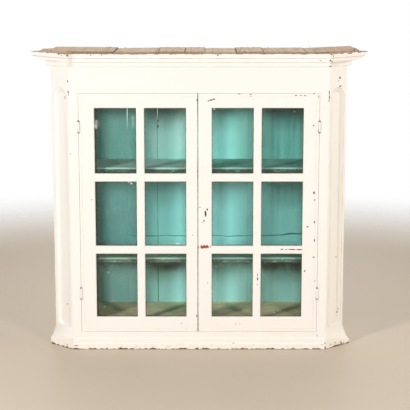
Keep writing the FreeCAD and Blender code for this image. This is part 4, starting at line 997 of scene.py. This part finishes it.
class CABINET_OT_paint_inside(Operator):
    """Paint the back, shelves, cleats and door stop in teal and the bottom in olive, and nail the back"""

    bl_idname = "cabinet.paint_inside"
    bl_label = "Paint the inside"

    def execute(self, context):
        colours = context.scene.cabinet_colours
        sizes = context.scene.cabinet_sizes
        clad(["back_boards"], back_board_paint(colours))
        clad(["door_stop", "shelf_cleats"], plain_teal(colours))
        clad(["upper_shelf"], shelf_paint(colours, "upper_shelf", 0.1, 0.9))
        clad(["lower_shelf"], shelf_paint(colours, "lower_shelf", 0.36, 0.8))
        clad(["bottom_board"], bottom_paint(colours))
        soften(["back_boards"], 0.12 * sizes.arris)
        soften(["door_stop", "shelf_cleats", "bottom_board"], 0.5 * sizes.arris)
        paint_ridge(colours)
        nail_back(colours, sizes.nail_radius)
        return {"FINISHED"}


class CABINET_OT_lay_top(Operator):
    """Give the top boards bare grain and nail them down"""

    bl_idname = "cabinet.lay_top"
    bl_label = "Lay the top boards"

    def execute(self, context):
        colours = context.scene.cabinet_colours
        sizes = context.scene.cabinet_sizes
        centres = []
        for number, board in enumerate(TOP_BOARDS, start=1):
            low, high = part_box(board)
            clad([board], top_board_finish(colours, number))
            soften([board], 0.8 * sizes.arris)
            inset = min(NAIL_INSET, (high.x - low.x) / 3)
            rows = (low.y + NAIL_FRONT, high.y - NAIL_BACK)
            centres += [(x, y, high.z) for x in (low.x + inset, high.x - inset) for y in rows]
        inner = [spot for spot in centres if abs(spot[0]) < SIDE_OUTSIDE]
        heads = turned_heads(inner, (0, 0, 1), sizes.nail_radius, NAIL_RISE)
        lattice("top_nails", heads, "carcass", old_iron(colours, "nail_iron", 0.7))
        return {"FINISHED"}


class CABINET_OT_glaze_doors(Operator):
    """Glaze the doors with old glass bedded in putty"""

    bl_idname = "cabinet.glaze_doors"
    bl_label = "Glaze the doors"

    def execute(self, context):
        colours = context.scene.cabinet_colours
        for hand in HANDS:
            clad([f"{hand}_panes"], old_glass(colours, hand))
        clad(both_hands("putty"), old_putty(colours))
        return {"FINISHED"}


class CABINET_OT_hang_doors(Operator):
    """Finish the hinges and drive their screws"""

    bl_idname = "cabinet.hang_doors"
    bl_label = "Hang the doors"

    def execute(self, context):
        colours = context.scene.cabinet_colours
        sizes = context.scene.cabinet_sizes
        iron = old_iron(colours, "screw_iron", 0.4, 0.4)
        door_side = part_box("right_hinge_stile")[1].x
        for hand, sign in zip(HANDS, (-1, 1)):
            paint = painted_hinge(colours, hand)
            leaves = [f"{hand}_frame_leaves", f"{hand}_door_leaves"]
            clad(leaves, paint)
            soften(leaves, sizes.metal_arris)
            low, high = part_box(f"{hand}_frame_leaves")
            levels = [foot + up for foot in (low.z, high.z - 2 * HINGE_HALF) for up in SCREW_HEIGHTS]
            sets = (("frame", "carcass", OPENING_SIDE, -sign), ("door", f"{hand}_door", door_side, sign))
            for leaf, body, side, facing in sets:
                spots = [(sign * side, FRONT + SCREW_DEPTH, level) for level in levels]
                turns = np.random.default_rng(len(leaf)).uniform(0, math.pi, len(spots))
                heads = turned_heads(spots, (facing, 0, 0), sizes.screw_radius, SUNK_RISE, turns)
                lattice(f"{hand}_{leaf}_screws", heads, body, iron)
        clad(both_hands("hinge_pins"), old_iron(colours, "pin_iron", 0.3, 0.4))
        return {"FINISHED"}


class CABINET_OT_fit_lock(Operator):
    """Finish the lock case, its bolt and the plate that takes the bolt, and drive their screws"""

    bl_idname = "cabinet.fit_lock"
    bl_label = "Fit the lock"

    def execute(self, context):
        colours = context.scene.cabinet_colours
        sizes = context.scene.cabinet_sizes
        iron = old_iron(colours, "lock_iron", 0.35, 0.45)
        clad(["lock_case", "lock_strike"], iron)
        clad(["lock_bolt"], old_brass(colours))
        soften(["lock_case", "lock_strike", "lock_bolt"], sizes.metal_arris)
        low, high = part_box("lock_case")
        inset = 6 * MM
        columns = (low.x + inset, high.x - inset)
        rows = (low.z + inset, high.z - inset)
        spots = [(x, high.y, z) for x in columns for z in rows]
        heads = turned_heads(spots, (0, 1, 0), sizes.screw_radius, ROUND_RISE, (0.4, 1.9, 2.6, 1.1))
        lattice("lock_screws", heads, "right_door", iron)
        low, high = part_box("lock_strike")
        inset = 2.6 * MM
        middle = (low.y + high.y) / 2
        spots = [(high.x, middle, z) for z in (low.z + inset, high.z - inset)]
        heads = turned_heads(spots, (1, 0, 0), 0.6 * sizes.screw_radius, SUNK_RISE, (0.9, 2.2))
        lattice("strike_screws", heads, "left_door", iron)
        return {"FINISHED"}


def set_floor(colours):
    """A flat square floor, matte and faintly clouded, that fades out of sight away from the cabinet."""
    spread = np.array([-FLOOR_HALF, FLOOR_HALF])
    across, back = np.meshgrid(spread, spread)
    points = np.stack([across, back, np.zeros_like(across)], axis=-1)
    mesh = bpy.data.meshes.new("floor")
    mesh.from_pydata(points.reshape(-1, 3).tolist(), [], [(0, 1, 3, 2)])
    floor = bpy.data.objects.new("floor", mesh)
    bpy.context.scene.collection.objects.link(floor)
    finish = Finish("floor_paint")
    colour = finish.tint(finish.noise(3, 3, 0.5) * 0.3, colours.floor, colours.floor_cloud)
    ground = finish.principled(Base_Color=colour, Roughness=0.55, Specular_IOR_Level=0.2)
    clear = finish.node("ShaderNodeBsdfTransparent")
    fade = finish.ramp(finish.length(finish.place), *FLOOR_FADE)
    fading = finish.node("ShaderNodeMixShader", None, {0: fade, 1: ground, 2: clear})
    mesh.materials.append(finish.shown(fading))


def set_room(scene, ambient):
    """Even white light, with plain white where the camera, a reflection or the glass looks out."""
    world = bpy.data.worlds.new("room")
    scene.world = world
    world.use_nodes = True
    room = Wiring(world.node_tree)
    seen = room.node("ShaderNodeLightPath", output="Is Camera Ray")
    seen = seen | seen.other("Is Glossy Ray") | seen.other("Is Transmission Ray")
    lit = room.node("ShaderNodeBackground", None, {"Color": (1, 1, 1), "Strength": ambient})
    plain = room.node("ShaderNodeBackground", None, {"Color": (1, 1, 1), "Strength": 1.0})
    sky = room.node("ShaderNodeMixShader", None, {0: seen, 1: lit, 2: plain})
    room.node("ShaderNodeOutputWorld", None, {"Surface": sky}, output=None)


def set_lamp(name, azimuth, distance, height, wide, tall, share):
    """A soft lamp aimed at the cabinet. Its power gives that share of a white surface's full brightness."""
    lamp = bpy.data.lights.new(name, "AREA")
    lamp.shape = "RECTANGLE"
    lamp.size = wide
    lamp.size_y = tall
    holder = bpy.data.objects.new(name, lamp)
    turn = math.radians(azimuth)
    holder.location = (-distance * math.sin(turn), FRONT - distance * math.cos(turn), height)
    aim = bpy.data.objects["body:carcass"].location.copy()
    aim.z = AIM_HEIGHT
    throw = aim - holder.location
    lamp.energy = share * math.pi ** 2 * throw.length_squared
    holder.rotation_euler = throw.to_track_quat("-Z", "Y").to_euler()
    bpy.context.scene.collection.objects.link(holder)


def set_camera(scene):
    """The photograph's camera: 4.5 m in front of the doors, above the cabinet and looking down."""
    camera = bpy.data.cameras.new("camera")
    camera.sensor_width = SENSOR
    camera.lens = LENS
    holder = bpy.data.objects.new("camera", camera)
    across, back, up = CAMERA_PLACE
    holder.location = (across, FRONT + back, up)
    holder.rotation_euler = (math.radians(CAMERA_TILT), 0.0, 0.0)
    scene.collection.objects.link(holder)
    scene.camera = holder


class CABINET_OT_set_stage(Operator):
    """Set the floor, the white room, the lamps and the camera"""

    bl_idname = "cabinet.set_stage"
    bl_label = "Set the stage"

    def execute(self, context):
        scene = context.scene
        light = scene.cabinet_light
        scene.view_settings.view_transform = "Standard"
        set_floor(scene.cabinet_colours)
        set_room(scene, light.ambient)
        for name, *place in LAMPS:
            set_lamp(name, *place, getattr(light, name))
        set_camera(scene)
        return {"FINISHED"}


class CABINET_PT_finish(Panel):
    """Lists the steps that finish the cabinet"""

    bl_idname = "CABINET_PT_finish"
    bl_label = "China Cabinet"
    bl_space_type = "VIEW_3D"
    bl_region_type = "UI"
    bl_category = "Cabinet"

    def draw(self, context):
        scene = context.scene
        for step in STEPS:
            self.layout.operator(step.bl_idname)
        for settings in (scene.cabinet_colours, scene.cabinet_sizes, scene.cabinet_light):
            column = self.layout.column()
            for name in settings.__annotations__:
                column.prop(settings, name)


STEPS = (
    CABINET_OT_paint_outside,
    CABINET_OT_paint_inside,
    CABINET_OT_lay_top,
    CABINET_OT_glaze_doors,
    CABINET_OT_hang_doors,
    CABINET_OT_fit_lock,
    CABINET_OT_set_stage,
)
CLASSES = (CabinetColours, CabinetSizes, CabinetLight, *STEPS, CABINET_PT_finish)


def register():
    for part in CLASSES:
        bpy.utils.register_class(part)
    bpy.types.Scene.cabinet_colours = PointerProperty(type=CabinetColours)
    bpy.types.Scene.cabinet_sizes = PointerProperty(type=CabinetSizes)
    bpy.types.Scene.cabinet_light = PointerProperty(type=CabinetLight)


def unregister():
    del bpy.types.Scene.cabinet_light
    del bpy.types.Scene.cabinet_sizes
    del bpy.types.Scene.cabinet_colours
    for part in reversed(CLASSES):
        bpy.utils.unregister_class(part)


def main():
    register()
    bpy.ops.cabinet.paint_outside()
    bpy.ops.cabinet.paint_inside()
    bpy.ops.cabinet.lay_top()
    bpy.ops.cabinet.glaze_doors()
    bpy.ops.cabinet.hang_doors()
    bpy.ops.cabinet.fit_lock()
    bpy.ops.cabinet.set_stage()


if __name__ == "__main__":
    main()
